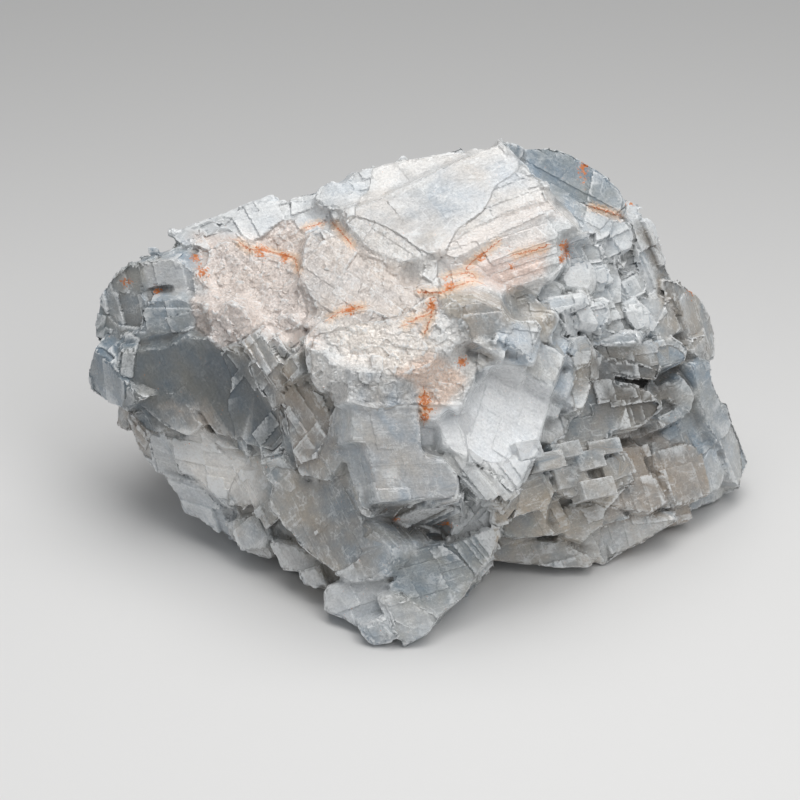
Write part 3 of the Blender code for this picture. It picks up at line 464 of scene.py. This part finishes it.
def cells_along(places, along):
    """Which cell each place along an edge falls in, and that cell's middle."""
    cell = np.clip(np.searchsorted(places, along), 1, len(places) - 1)
    return cell, (places[cell - 1] + places[cell]) / 2


def facets_under(tree, points):
    """Which way the solid faces where it is nearest to each point, and how far away that is."""
    found = [tree.find_nearest(point) for point in points]
    return np.array([facet for _, facet, _, _ in found]), np.array([distance for _, _, _, distance in found])


def coordinates_on(facets, offsets, edges):
    """Oblique coordinates on each facet, along the two edges that lie flattest in it, and those two ways."""
    order = np.argsort(np.abs(facets @ edges.T) + (0.0, 0.02, 0.04), axis=1)
    ways = []
    for n in (0, 1):
        way = edges[order[:, n]]
        way = way - facets * (way * facets).sum(axis=1)[:, None]
        ways.append(way / np.linalg.norm(way, axis=1)[:, None])
    skew = (ways[0] * ways[1]).sum(axis=1)
    first, second = [(offsets * way).sum(axis=1) for way in ways]
    room = np.maximum(1.0 - skew * skew, 0.05)
    return (first - skew * second) / room, (second - skew * first) / room, ways


def terraces(points, facets, frame, kind, wear, dice):
    """How far each point moves along its facet's way: low flat steps with edges along the cleavage."""
    (length, breadth, step, swell), chips = kind
    middle, edges = frame
    offsets = points - middle
    u, v, ways = coordinates_on(facets, offsets, edges)
    seed = dice.randrange(1, 900)
    cell_u, middle_u = cells_along(planes_along(length, dice), u)
    cell_v, middle_v = cells_along(planes_along(breadth, dice), v)
    level = (offsets * facets).sum(axis=1)
    centre = ways[0] * middle_u[:, None] + ways[1] * middle_v[:, None] + facets * level[:, None]
    cells = np.stack([cell_u, cell_v, np.round(level / LEVEL).astype(np.int64)], axis=1)
    rise = swell * (soft_noise(centre, SWELL_LUMPS, seed) + OWN_CHANCE * jumps(cells, seed) - SUNK)
    height = np.round(rise / step) * step
    cells[:, 0] = cells_along(planes_along(CHIP[0], dice), u)[0]
    cells[:, 1] = cells_along(planes_along(CHIP[1], dice), v)[0]
    chip = np.clip(wear * CHIP_GAIN - jumps(cells, seed + 1), 0.0, 1.0)
    return height - np.round(chips * chip / CHIP[2]) * CHIP[2]


def nearest_grain(points, frames):
    """Which grain each point belongs to, with borders that wander."""
    bends = np.stack([soft_noise(points, WANDER_LUMPS, seed) for seed in (1, 2, 3)], axis=1)
    moved = points + bends * GRAIN_WANDER
    distances = np.stack([np.linalg.norm(moved - middle, axis=1) for middle, _ in frames], axis=1)
    return distances.argmin(axis=1)


def jostled(edges, way, dice):
    """A grain's three edges, turned a little round a way and round any other."""
    turned = Matrix.Rotation(dice.gauss(0.0, 0.06), 3, way) @ Matrix(edges.tolist()).transposed()
    other = Vector((dice.gauss(0, 1), dice.gauss(0, 1), 0.3)).normalized()
    return (Matrix.Rotation(dice.gauss(0.0, 0.05), 3, other) @ turned).transposed()


def rhomb(centre, axes, sizes):
    """The corners of a block of those sizes along three axes."""
    corners = []
    for signs in itertools.product((-0.5, 0.5), repeat=3):
        ways = [Vector(axes[i]) * sizes[i] * signs[i] for i in range(3)]
        corners.append(centre + sum(ways, Vector()))
    return corners


def add_block(made, corners):
    verts = [made.verts.new(corner * MM) for corner in corners]
    for face in BOX_FACES:
        made.faces.new([verts[k] for k in face])


def crumb(place, way, edges, size, dice):
    """A cleavage rhomb (mm) that stands in the surface, turned a little out of its grain's lattice."""
    axes = jostled(edges, way, dice)
    sizes = [size * dice.uniform(0.6, 1.3) for _ in range(3)]
    return rhomb(place - way * size * dice.uniform(0.05, 0.3), axes, sizes)


def add_crumbs(mesh, frames, low, high):
    """Small broken rhombs on the rough grains, added to a copy of the solid's mesh."""
    dice = random.Random(11)
    faces = [f for f in mesh.polygons if f.area > SMALLEST_FACE]
    weights = list(itertools.accumulate(f.area for f in faces))
    made = bmesh.new()
    made.from_mesh(mesh)
    for face in dice.choices(faces, cum_weights=weights, k=CRUMB_PLACES):
        corners = [mesh.vertices[i].co / MM for i in face.vertices]
        mix = [dice.random() for _ in corners]
        place = sum((c * m for c, m in zip(corners, mix)), Vector()) / sum(mix)
        number = int(np.argmin([np.linalg.norm(np.array(place) - middle) for middle, _ in frames]))
        chance = CRUMB_CHANCES.get(list(GRAINS.values())[number][3], LEAST_CHANCE)
        if place.z < CRUMB_FLOOR or dice.random() > chance:
            continue
        size = min(CRUMB_SIZE * dice.lognormvariate(*CRUMB_SPREAD), LARGEST_CRUMB)
        shape = crumb(place, face.normal, frames[number][1], size, dice)
        if all(low[k] < c[k] < high[k] for c in shape for k in range(3)):
            add_block(made, shape)
    made.to_mesh(mesh)
    made.free()


def first_hit(tree, px, py):
    """The point (mm) of the solid that the photograph shows at a pixel."""
    return tree.ray_cast(EYE, sight(px, py))[0]


def add_slabs(made, tree, frames):
    """The blocks that cross hollows, level with the surface round them."""
    dice = random.Random(3)
    for (px, py), name, sizes in SLABS:
        edges = frames[list(GRAINS).index(name)][1]
        around = [(px + x * SLAB_SIDE, py + y * SLAB_SIDE) for x in (-1, 0, 1) for y in (-1, 0, 1)]
        nearest = min((first_hit(tree, *pixel) - EYE).length for pixel in around)
        centre = EYE + sight(px, py) * (nearest + sizes[2] * 0.5)
        add_block(made, rhomb(centre, jostled(edges, FORWARD, dice), sizes))


def add_rods(made, tree, edges):
    """The parallel rods under the bright face."""
    dice = random.Random(5)
    along, across = Vector(edges[0]), facing(*GRAINS["rods"][1]).cross(Vector(edges[0]))
    out = along.cross(across)
    for n in range(ROD_COUNT):
        share = n / (ROD_COUNT - 1)
        (ax, ay), (bx, by) = ROD_STARTS
        start = first_hit(tree, ax + (bx - ax) * share, ay + (by - ay) * share)
        length = ROD_LENGTHS[0] + (ROD_LENGTHS[1] - ROD_LENGTHS[0]) * share + dice.uniform(-1.0, 1.0)
        centre = start + along * (length / 2 - 1.0) + out * (dice.uniform(*ROD_PROUD) - ROD_DEPTH / 2)
        add_block(made, rhomb(centre, (along, across, out), (length, ROD_WIDTH, ROD_DEPTH)))


def add_blocks(mesh, tree, frames):
    """Slabs and rods, added to the mesh."""
    made = bmesh.new()
    made.from_mesh(mesh)
    add_slabs(made, tree, frames)
    add_rods(made, tree, frames[list(GRAINS).index("rods")][1])
    made.to_mesh(mesh)
    made.free()


def remeshed(mesh):
    """The same surface as an even mesh of small faces."""
    copy = bpy.data.objects.new("fine", mesh)
    bpy.context.scene.collection.objects.link(copy)
    remesh = copy.modifiers.new("fine", "REMESH")
    remesh.mode = "VOXEL"
    remesh.voxel_size = VOXEL * MM
    graph = bpy.context.evaluated_depsgraph_get()
    fine = bpy.data.meshes.new_from_object(copy.evaluated_get(graph))
    bpy.data.objects.remove(copy)
    return fine


def healing(mesh, frames):
    """How far each point of the mesh swells to close the grooves round it, in mm."""
    reaches = np.array([HEALING if name in HEALED else 0.0 for name in GRAINS])
    return smoothed(reaches[nearest_grain(points_of(mesh), frames)], edges_of(mesh), HEALED_ROUNDS)


def healed(mesh, frames):
    """The surface swollen, made again, evened out and shrunk, which closes its narrow grooves."""
    set_points(mesh, points_of(mesh) + normals_of(mesh) * healing(mesh, frames))
    closed = remeshed(mesh)
    reach = healing(closed, frames)
    for shrink in (0.0, reach):
        points = points_of(closed) - normals_of(closed) * np.reshape(shrink, (-1, 1))
        even = smoothed(points, edges_of(closed), HEALED_ROUNDS)
        set_points(closed, points + (even - points) * np.clip(reach, 0.0, 1.0))
    return closed


def fine_mesh(solid, tree, frames, low, high):
    """The solid's surface as a fine mesh, its healed grains' grooves closed, with blocks and crumbs on it."""
    closed = healed(remeshed(solid.data.copy()), frames)
    add_blocks(closed, tree, frames)
    add_crumbs(closed, frames, low, high)
    return remeshed(closed)


def tree_in_mm(mesh):
    """The solid's faces in millimetres, to look for the nearest place or the first one along a line."""
    places = [v.co / MM for v in mesh.vertices]
    return BVHTree.FromPolygons(places, [tuple(p.vertices) for p in mesh.polygons])


def add_sugar(moves, points, owner, edges):
    """Adds the faces of small crystals to the points' moves, in the grains that are a mass of them."""
    share = smoothed(np.array([SUGAR.get(name, 0.0) for name in GRAINS])[owner], edges, 6)[:, 0]
    rough = share > LEAST_SUGAR
    for number, (size, rise, tilt) in enumerate(SUGAR_GRAINS):
        moves[rough] += share[rough] * sugary(points[rough], size, rise, tilt, 31 + 7 * number)


def break_surface(mesh, tree, owner, frames, low, high):
    """Moves the fine mesh's points onto terraces and small crystals, inside the solid's box."""
    points, normals, wear = points_of(mesh), normals_of(mesh), bulge(mesh, *CHIPPED)
    facets, distances = facets_under(tree, points)
    bridging = (facets * normals).sum(axis=1) < LEANING
    facets[bridging] = normals[bridging]
    moves = np.zeros(len(points))
    for number, name in enumerate(GRAINS):
        mine = owner == number
        if mine.any():
            kind, dice = SURFACES[GRAINS[name][3]], random.Random(f"{name} terraces")
            moves[mine] = terraces(points[mine], facets[mine], frames[number], kind, wear[mine], dice)
    add_sugar(moves, points, owner, edges_of(mesh))
    share = np.clip((points[:, 2] - FOOT[0]) / FOOT[1], 0.0, 1.0)
    share *= np.clip(FADE[0] - distances / FADE[1], 0.0, 1.0)
    set_points(mesh, np.clip(points + facets * (moves * share)[:, None], low, high))


def stone_mesh(solid, low, high):
    """The finished surface, and how worn or hollow each of its points is as attributes."""
    frames = [grain_frame(name) for name in GRAINS]
    tree = tree_in_mm(solid.data)
    mesh = fine_mesh(solid, tree, frames, low + BOX_MARGIN, high - BOX_MARGIN)
    owner = nearest_grain(points_of(mesh), frames)
    break_surface(mesh, tree, owner, frames, low, high)
    add_numbers(mesh, "wear", bulge(mesh, *EDGE_WEAR_AND_HIGHLIGHT))
    add_numbers(mesh, "hollow", bulge(mesh, *HOLLOW))
    stone = thinned(mesh)
    set_points(stone.data, np.clip(points_of(stone.data), low, high))
    return stone, frames, tree


def thinned(mesh):
    """The mesh with fewer faces where it is flat."""
    stone = bpy.data.objects.new("stone", mesh)
    bpy.context.scene.collection.objects.link(stone)
    thin = stone.modifiers.new("thin", "DECIMATE")
    thin.ratio = MOST_TRIANGLES / (2 * len(mesh.polygons))
    graph = bpy.context.evaluated_depsgraph_get()
    stone.data = bpy.data.meshes.new_from_object(stone.evaluated_get(graph))
    stone.modifiers.clear()
    stone.data.set_sharp_from_angle(angle=SHARP)
    return stone


def add_numbers(mesh, name, values):
    layer = mesh.attributes.new(name, "FLOAT", "POINT")
    layer.data.foreach_set("value", values.astype(np.float32))


def add_vectors(mesh, name, values):
    layer = mesh.attributes.new(name, "FLOAT_VECTOR", "POINT")
    layer.data.foreach_set("vector", values.astype(np.float32).ravel())


def from_line(x, y, start, end):
    """How far each place lies from the line between two pixels."""
    (ax, ay), (bx, by) = start, end
    dx, dy = bx - ax, by - ay
    along = np.clip(((x - ax) * dx + (y - ay) * dy) / (dx * dx + dy * dy), 0.0, 1.0)
    return np.hypot(x - ax - along * dx, y - ay - along * dy)


def outside_of(outline, x, y):
    """How many pixels each place lies outside the outline; below nought inside."""
    nearest = np.full(len(x), FAR)
    inside = np.zeros(len(x), bool)
    for (ax, ay), (bx, by) in zip(outline, outline[1:] + outline[:1]):
        nearest = np.minimum(nearest, from_line(x, y, (ax, ay), (bx, by)))
        if ay != by:
            inside ^= ((ay > y) != (by > y)) & (x < ax + (y - ay) * (bx - ax) / (by - ay))
    return np.where(inside, -nearest, nearest)


def near_veins(x, y):
    """The distance (mm) of each place from the nearest vein, below nought on its other side."""
    best = np.full(len(x), FAR)
    for vein in VEINS:
        for (ax, ay), (bx, by) in zip(vein, vein[1:]):
            distance = from_line(x, y, (ax, ay), (bx, by))
            side = np.where((x - ax) * (by - ay) - (y - ay) * (bx - ax) > 0, 1.0, -1.0)
            best = np.where(distance < np.abs(best), distance * side, best)
    return best * PIXEL


def in_sight(points, normals, tree):
    """Which points the photograph shows."""
    eye = np.array(EYE)
    shown = ((points - eye) * normals).sum(axis=1) < 0.0
    for n in np.flatnonzero(shown):
        way = eye - points[n]
        start = points[n] + way * (SIGHT_START / np.linalg.norm(way))
        shown[n] = tree.ray_cast(start, way)[0] is None
    return shown


def tints(points, owner, shown):
    """Each point's colour: its grain's, and where the photograph shows it that of the areas it lies in."""
    colours = np.array([GRAIN_COLOURS[name] for name in GRAINS])[owner]
    x, y = pixels(points)
    x += WAVER[0] * soft_noise(points, WAVER[1], 21)
    y += WAVER[0] * soft_noise(points, WAVER[1], 22)
    for outline, colour, border in AREAS.values():
        share = np.clip(0.5 - outside_of(outline, x, y) / border, 0.0, 1.0) * shown
        colours += (np.array(colour) - colours) * share[:, None]
    return colours


def add_rust(mesh, points, shown):
    """How near each point is to the veins and spots of rust, as attributes."""
    x, y = pixels(points)
    side = np.where(shown, near_veins(x, y), FAR)
    add_numbers(mesh, "vein_side", np.clip(side, -VEIN_REACH, VEIN_REACH))
    add_numbers(mesh, "vein_near", np.clip(1.0 - np.abs(side) / VEIN_REACH, 0.0, 1.0))
    rust = np.zeros(len(points))
    for px, py, radius in SPOTS:
        rust = np.maximum(rust, 1.0 - np.hypot(x - px, y - py) / (2.0 * radius))
    add_numbers(mesh, "rust", np.clip(rust, 0.0, 1.0) * shown)


def paint(mesh, frames, tree):
    """Colour, rust and the grains' own coordinates, as attributes of the points."""
    points, edges = points_of(mesh), edges_of(mesh)
    owner = nearest_grain(points, frames)
    shown = in_sight(points, normals_of(mesh), tree)
    add_vectors(mesh, "tint", smoothed(tints(points, owner, shown), edges, 2))
    speckled = np.array([SPECKLED.get(name, LEAST_SPECKLED) for name in GRAINS])[owner]
    add_numbers(mesh, "sugar", smoothed(speckled, edges, 3)[:, 0])
    middles = np.array([middle for middle, _ in frames])[owner]
    ways = np.array([np.linalg.inv(axes) for _, axes in frames])[owner]
    add_vectors(mesh, "grain", np.einsum("ni,nij->nj", points - middles, ways))
    add_rust(mesh, points, shown)


class Shader:
    """Builds a material's nodes; a value given for an input may be another node's output."""

    def __init__(self, name):
        self.material = bpy.data.materials.new(name)
        self.material.use_nodes = True
        self.tree = self.material.node_tree
        self.surface = self.tree.nodes["Principled BSDF"]

    def fill(self, node, inputs):
        for name, value in inputs.items():
            socket = node.inputs[name]
            if isinstance(value, bpy.types.NodeSocket):
                self.tree.links.new(value, socket)
            else:
                socket.default_value = value
        return node

    def add(self, kind, inputs, **settings):
        node = self.tree.nodes.new(kind)
        for name, value in settings.items():
            setattr(node, name, value)
        return self.fill(node, inputs)

    def attribute(self, name, output):
        return self.add("ShaderNodeAttribute", {}, attribute_name=name).outputs[output]

    def math(self, operation, *values):
        return self.add("ShaderNodeMath", dict(enumerate(values)), operation=operation).outputs[0]

    def times(self, first, second):
        return self.math("MULTIPLY", first, second)

    def vectors(self, operation, first, second, output=0):
        inputs = {0: first, 1: second}
        return self.add("ShaderNodeVectorMath", inputs, operation=operation).outputs[output]

    def stretched(self, vector, scale):
        return self.vectors("MULTIPLY", vector, scale)

    def noise(self, vector, scale, detail=4.0):
        inputs = {"Vector": vector, "Scale": scale, "Detail": detail, "Roughness": 0.6}
        return self.add("ShaderNodeTexNoise", inputs).outputs["Fac"]

    def cracks(self, vector):
        """Thin lines between the uneven cells of a lattice."""
        ends = []
        for feature in ("F1", "F2"):
            inputs = {"Vector": vector, "Scale": 1.0, "Randomness": 0.9}
            node = self.add("ShaderNodeTexVoronoi", inputs, distance="CHEBYCHEV", feature=feature)
            ends.append(node.outputs["Distance"])
        return self.ramp(self.math("SUBTRACT", ends[1], ends[0]), 0.012, 0.04, 1.0, 0.0)

    def ends(self, vector):
        """Heights of small cells that each end in a flat face of their own."""
        node = self.add("ShaderNodeTexVoronoi", {"Vector": vector, "Scale": 1.0})
        offset = self.vectors("SUBTRACT", vector, node.outputs["Position"])
        lean = self.vectors("SUBTRACT", node.outputs["Color"], (0.5, 0.5, 0.5))
        return self.vectors("DOT_PRODUCT", offset, lean, "Value")

    def ramp(self, value, low, high, to_low=0.0, to_high=1.0):
        inputs = {"Value": value, "From Min": low, "From Max": high, "To Min": to_low, "To Max": to_high}
        return self.add("ShaderNodeMapRange", inputs, interpolation_type="SMOOTHSTEP").outputs[0]

    def blend(self, share, first, second):
        """Between two numbers."""
        inputs = {0: share, 2: first, 3: second}
        return self.add("ShaderNodeMix", inputs, data_type="FLOAT").outputs[0]

    def mix(self, share, first, second, blend="MIX"):
        """Between two colours."""
        inputs = {0: share, 6: first, 7: second}
        return self.add("ShaderNodeMix", inputs, data_type="RGBA", blend_type=blend).outputs[2]

    def grey(self, value):
        return self.add("ShaderNodeCombineColor", {0: value, 1: value, 2: value}).outputs[0]


class Calcite(Shader):
    """The stone: cloudy, a little translucent, striated along its cleavage, rust-coloured in its veins."""

    def __init__(self):
        super().__init__("calcite")
        self.grain = self.attribute("grain", "Vector")
        self.tint = self.attribute("tint", "Color")
        self.sugar = self.attribute("sugar", "Fac")
        self.wear = self.attribute("wear", "Fac")
        self.streaks = self.noise(self.stretched(self.grain, (0.10, 2.2, 2.6)), 1.0, 5.0)
        self.clouds = self.noise(self.grain, 0.10)
        self.mist = self.noise(self.stretched(self.grain, (0.45, 0.6, 0.8)), 0.6, 7.0)
        self.grit = self.noise(self.grain, 1.6, 6.0)
        lightness = self.add("ShaderNodeSeparateColor", {"Color": self.tint}).outputs[1]
        self.drab = self.ramp(lightness, 0.45, 0.72, 1.0, 0.15)
        self.dim = self.ramp(lightness, 0.18, 0.45, 0.12, 1.0)
        broad = self.cracks(self.stretched(self.grain, (0.10, 0.16, 0.3)))
        narrow = self.cracks(self.stretched(self.grain, (0.28, 0.45, 0.8)))
        self.lines = self.times(self.math("MAXIMUM", broad, narrow), self.ramp(self.mist, 0.44, 0.56))
        self.fill_surface()

    def fill_surface(self):
        """Gives the surface its colour, relief and gloss."""
        colour = self.rusted(self.pale_edges_and_hollow_shade(self.flecked(self.shaded(self.clouded()))))
        rough = self.math("ADD", self.ramp(self.mist, 0.3, 0.7, 0.14, 0.32), self.times(self.wear, 0.15))
        self.fill(self.surface, {
            "Base Color": colour, "Roughness": rough, "Normal": self.relief(), "IOR": 1.6,
            "Subsurface Weight": 0.25, "Subsurface Radius": (1.0, 1.0, 1.0), "Subsurface Scale": 0.0015,
            "Coat Weight": 0.35, "Coat Roughness": 0.08,
        })

    def clouded(self):
        """The painted colour, with warmer and cooler clouds."""
        warmth = self.times(self.ramp(self.clouds, 0.45, 0.72), self.drab)
        colour = self.mix(warmth, self.tint, WARM, "MULTIPLY")
        coolness = self.times(self.ramp(self.clouds, 0.28, 0.52, 1.0, 0.0), self.drab)
        return self.mix(coolness, colour, COOL, "MULTIPLY")

    def shaded(self, colour):
        """Light and dark streaks, or grit in the sugary grains, under a finer mist and grit."""
        streaks = self.ramp(self.streaks, 0.30, 0.70, 0.93, 1.05)
        gritty = self.ramp(self.grit, 0.30, 0.70, 0.86, 1.07)
        misty = self.blend(self.dim, 1.0, self.ramp(self.mist, 0.34, 0.66, 0.94, 1.05))
        shade = self.times(self.blend(self.sugar, streaks, gritty), misty)
        shade = self.times(shade, self.ramp(self.grit, 0.30, 0.70, 0.89, 1.08))
        return self.mix(1.0, colour, self.grey(shade), "MULTIPLY")

    def flecked(self, colour):
        """Pale flecks and hairlines, and specks that are painted glints and fine white dust."""
        flecks = self.times(self.ramp(self.mist, 0.57, 0.60), self.ramp(self.grit, 0.50, 0.55))
        # painted glints: small bright specks, some of them fine white dust
        glint_and_dust_specks = self.ramp(self.noise(self.grain, 3.2, 2.0), 0.66, 0.70)
        pale = self.math("MAXIMUM", self.times(flecks, 0.55), self.times(glint_and_dust_specks, 0.6))
        pale = self.math("MAXIMUM", pale, self.times(self.lines, 0.45))
        return self.mix(self.times(pale, self.dim), colour, CHALK_AND_GLINT)

    def pale_edges_and_hollow_shade(self, colour):
        """Pale broken edges, lit by a painted highlight, and painted shade that darkens the hollows."""
        # pale convex edges: partly broken crumble, partly a painted highlight
        edges = self.times(self.ramp(self.wear, 0.2, 0.8), self.ramp(self.grit, 0.35, 0.55, 0.5, 1.0))
        colour = self.mix(self.times(edges, 0.75), colour, BROKEN_EDGE_AND_HIGHLIGHT)
        # painted shade: the hollows are darkened, less so where the colour is pale
        hollows = self.ramp(self.attribute("hollow", "Fac"), 0.08, 0.8)
        return self.mix(self.times(hollows, self.times(self.drab, 0.85)), colour, PAINTED_HOLLOW_SHADE)

    def rusted(self, colour):
        """A stain along the veins, grainy spots, and the thin veins themselves."""
        wobble = self.math("MULTIPLY_ADD", self.grit, 2.0, -1.0)
        across = self.math("ABSOLUTE", self.math("ADD", self.attribute("vein_side", "Fac"), wobble))
        near = self.attribute("vein_near", "Fac")
        stain = self.ramp(self.math("MULTIPLY_ADD", self.grit, 1.1, near), 0.90, 1.5)
        stain = self.times(stain, self.ramp(near, 0.05, 0.5))
        vein = self.times(self.ramp(across, 0.06, 0.24, 1.0, 0.0), self.ramp(near, 0.15, 0.5))
        vein = self.times(vein, self.ramp(self.mist, 0.36, 0.50, 0.15, 0.95))
        grainy = self.math("MULTIPLY_ADD", self.grit, 2.6, self.attribute("rust", "Fac"))
        colour = self.mix(self.times(stain, 0.45), colour, STAIN)
        colour = self.mix(self.times(self.ramp(grainy, 1.75, 1.95), 0.9), colour, RUST)
        return self.mix(vein, colour, DEEP_RUST)

    def relief(self):
        """Streaks, grit, crystal ends and hairlines that are finer than the mesh, in mm."""
        soft = self.blend(self.sugar, self.streaks, 0.5)
        height = self.math("MULTIPLY_ADD", soft, 0.08, self.times(self.mist, 0.10))
        height = self.math("MULTIPLY_ADD", self.grit, 0.10, height)
        broad = self.ends(self.stretched(self.grain, (1.6, 1.6, 1.6)))
        narrow = self.ends(self.stretched(self.grain, (3.7, 3.7, 3.7)))
        facets = self.math("ADD", broad, self.times(narrow, 0.5))
        facets = self.times(facets, self.math("ADD", self.sugar, 0.15))
        height = self.math("MULTIPLY_ADD", facets, 0.30, height)
        height = self.math("MULTIPLY_ADD", self.lines, -0.05, height)
        return self.add("ShaderNodeBump", {"Strength": 0.8, "Distance": MM, "Height": height}).outputs[0]


def aimed(item, place, target):
    item.location = place
    item.rotation_euler = (Vector(target) - Vector(place)).to_track_quat("-Z", "Y").to_euler()
    bpy.context.scene.collection.objects.link(item)
    return item


def add_light(name, place, target, width, watts, colour):
    light = bpy.data.lights.new(name, "AREA")
    light.size, light.energy, light.color = width, watts, colour
    aimed(bpy.data.objects.new(name, light), place, target)


def add_floor():
    """The pale floor, with painted shade that makes it a little darker towards the back."""
    bpy.ops.mesh.primitive_plane_add(size=FLOOR_WIDTH)
    floor = bpy.context.active_object
    floor.name = "floor"
    matt = Shader("paper")
    place = matt.add("ShaderNodeTexCoord", {}).outputs["Object"]
    depth = matt.add("ShaderNodeSeparateXYZ", {0: place}).outputs["Y"]
    # painted shade: darker towards the back
    shade = matt.grey(matt.ramp(depth, *PAINTED_FLOOR_FALLOFF))
    matt.fill(matt.surface, {"Base Color": shade, "Roughness": 0.7})
    floor.data.materials.append(matt.material)


def add_sky():
    """Faint light from all round."""
    world = bpy.data.worlds.new("room")
    world.use_nodes = True
    sky = world.node_tree.nodes["Background"]
    sky.inputs["Color"].default_value = SKY
    sky.inputs["Strength"].default_value = SKY_STRENGTH
    bpy.context.scene.world = world


def add_camera():
    """The camera that took the photograph."""
    lens = bpy.data.cameras.new("camera")
    lens.sensor_width, lens.clip_start = SENSOR, NEAREST
    lens.lens = SENSOR * PIXELS_PER_RADIAN / (2.0 * FRAME_CENTRE)
    camera = aimed(bpy.data.objects.new("camera", lens), EYE * MM, (EYE + FORWARD) * MM)
    bpy.context.scene.camera = camera


def add_studio():
    """The floor, the lights and the camera."""
    add_floor()
    for name, light in LIGHTS.items():
        add_light(name, *light)
    add_sky()
    add_camera()
    bpy.context.scene.view_settings.view_transform = "Standard"


def main():
    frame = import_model()
    solid = frame["nodes"]["calcite"]
    low, high = [np.array(corner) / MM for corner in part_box("calcite")]
    stone, frames, tree = stone_mesh(solid, low, high)
    paint(stone.data, frames, tree)
    stone.data.materials.clear()
    stone.data.materials.append(Calcite().material)
    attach(stone, "root")
    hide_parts("calcite")
    add_studio()


main()
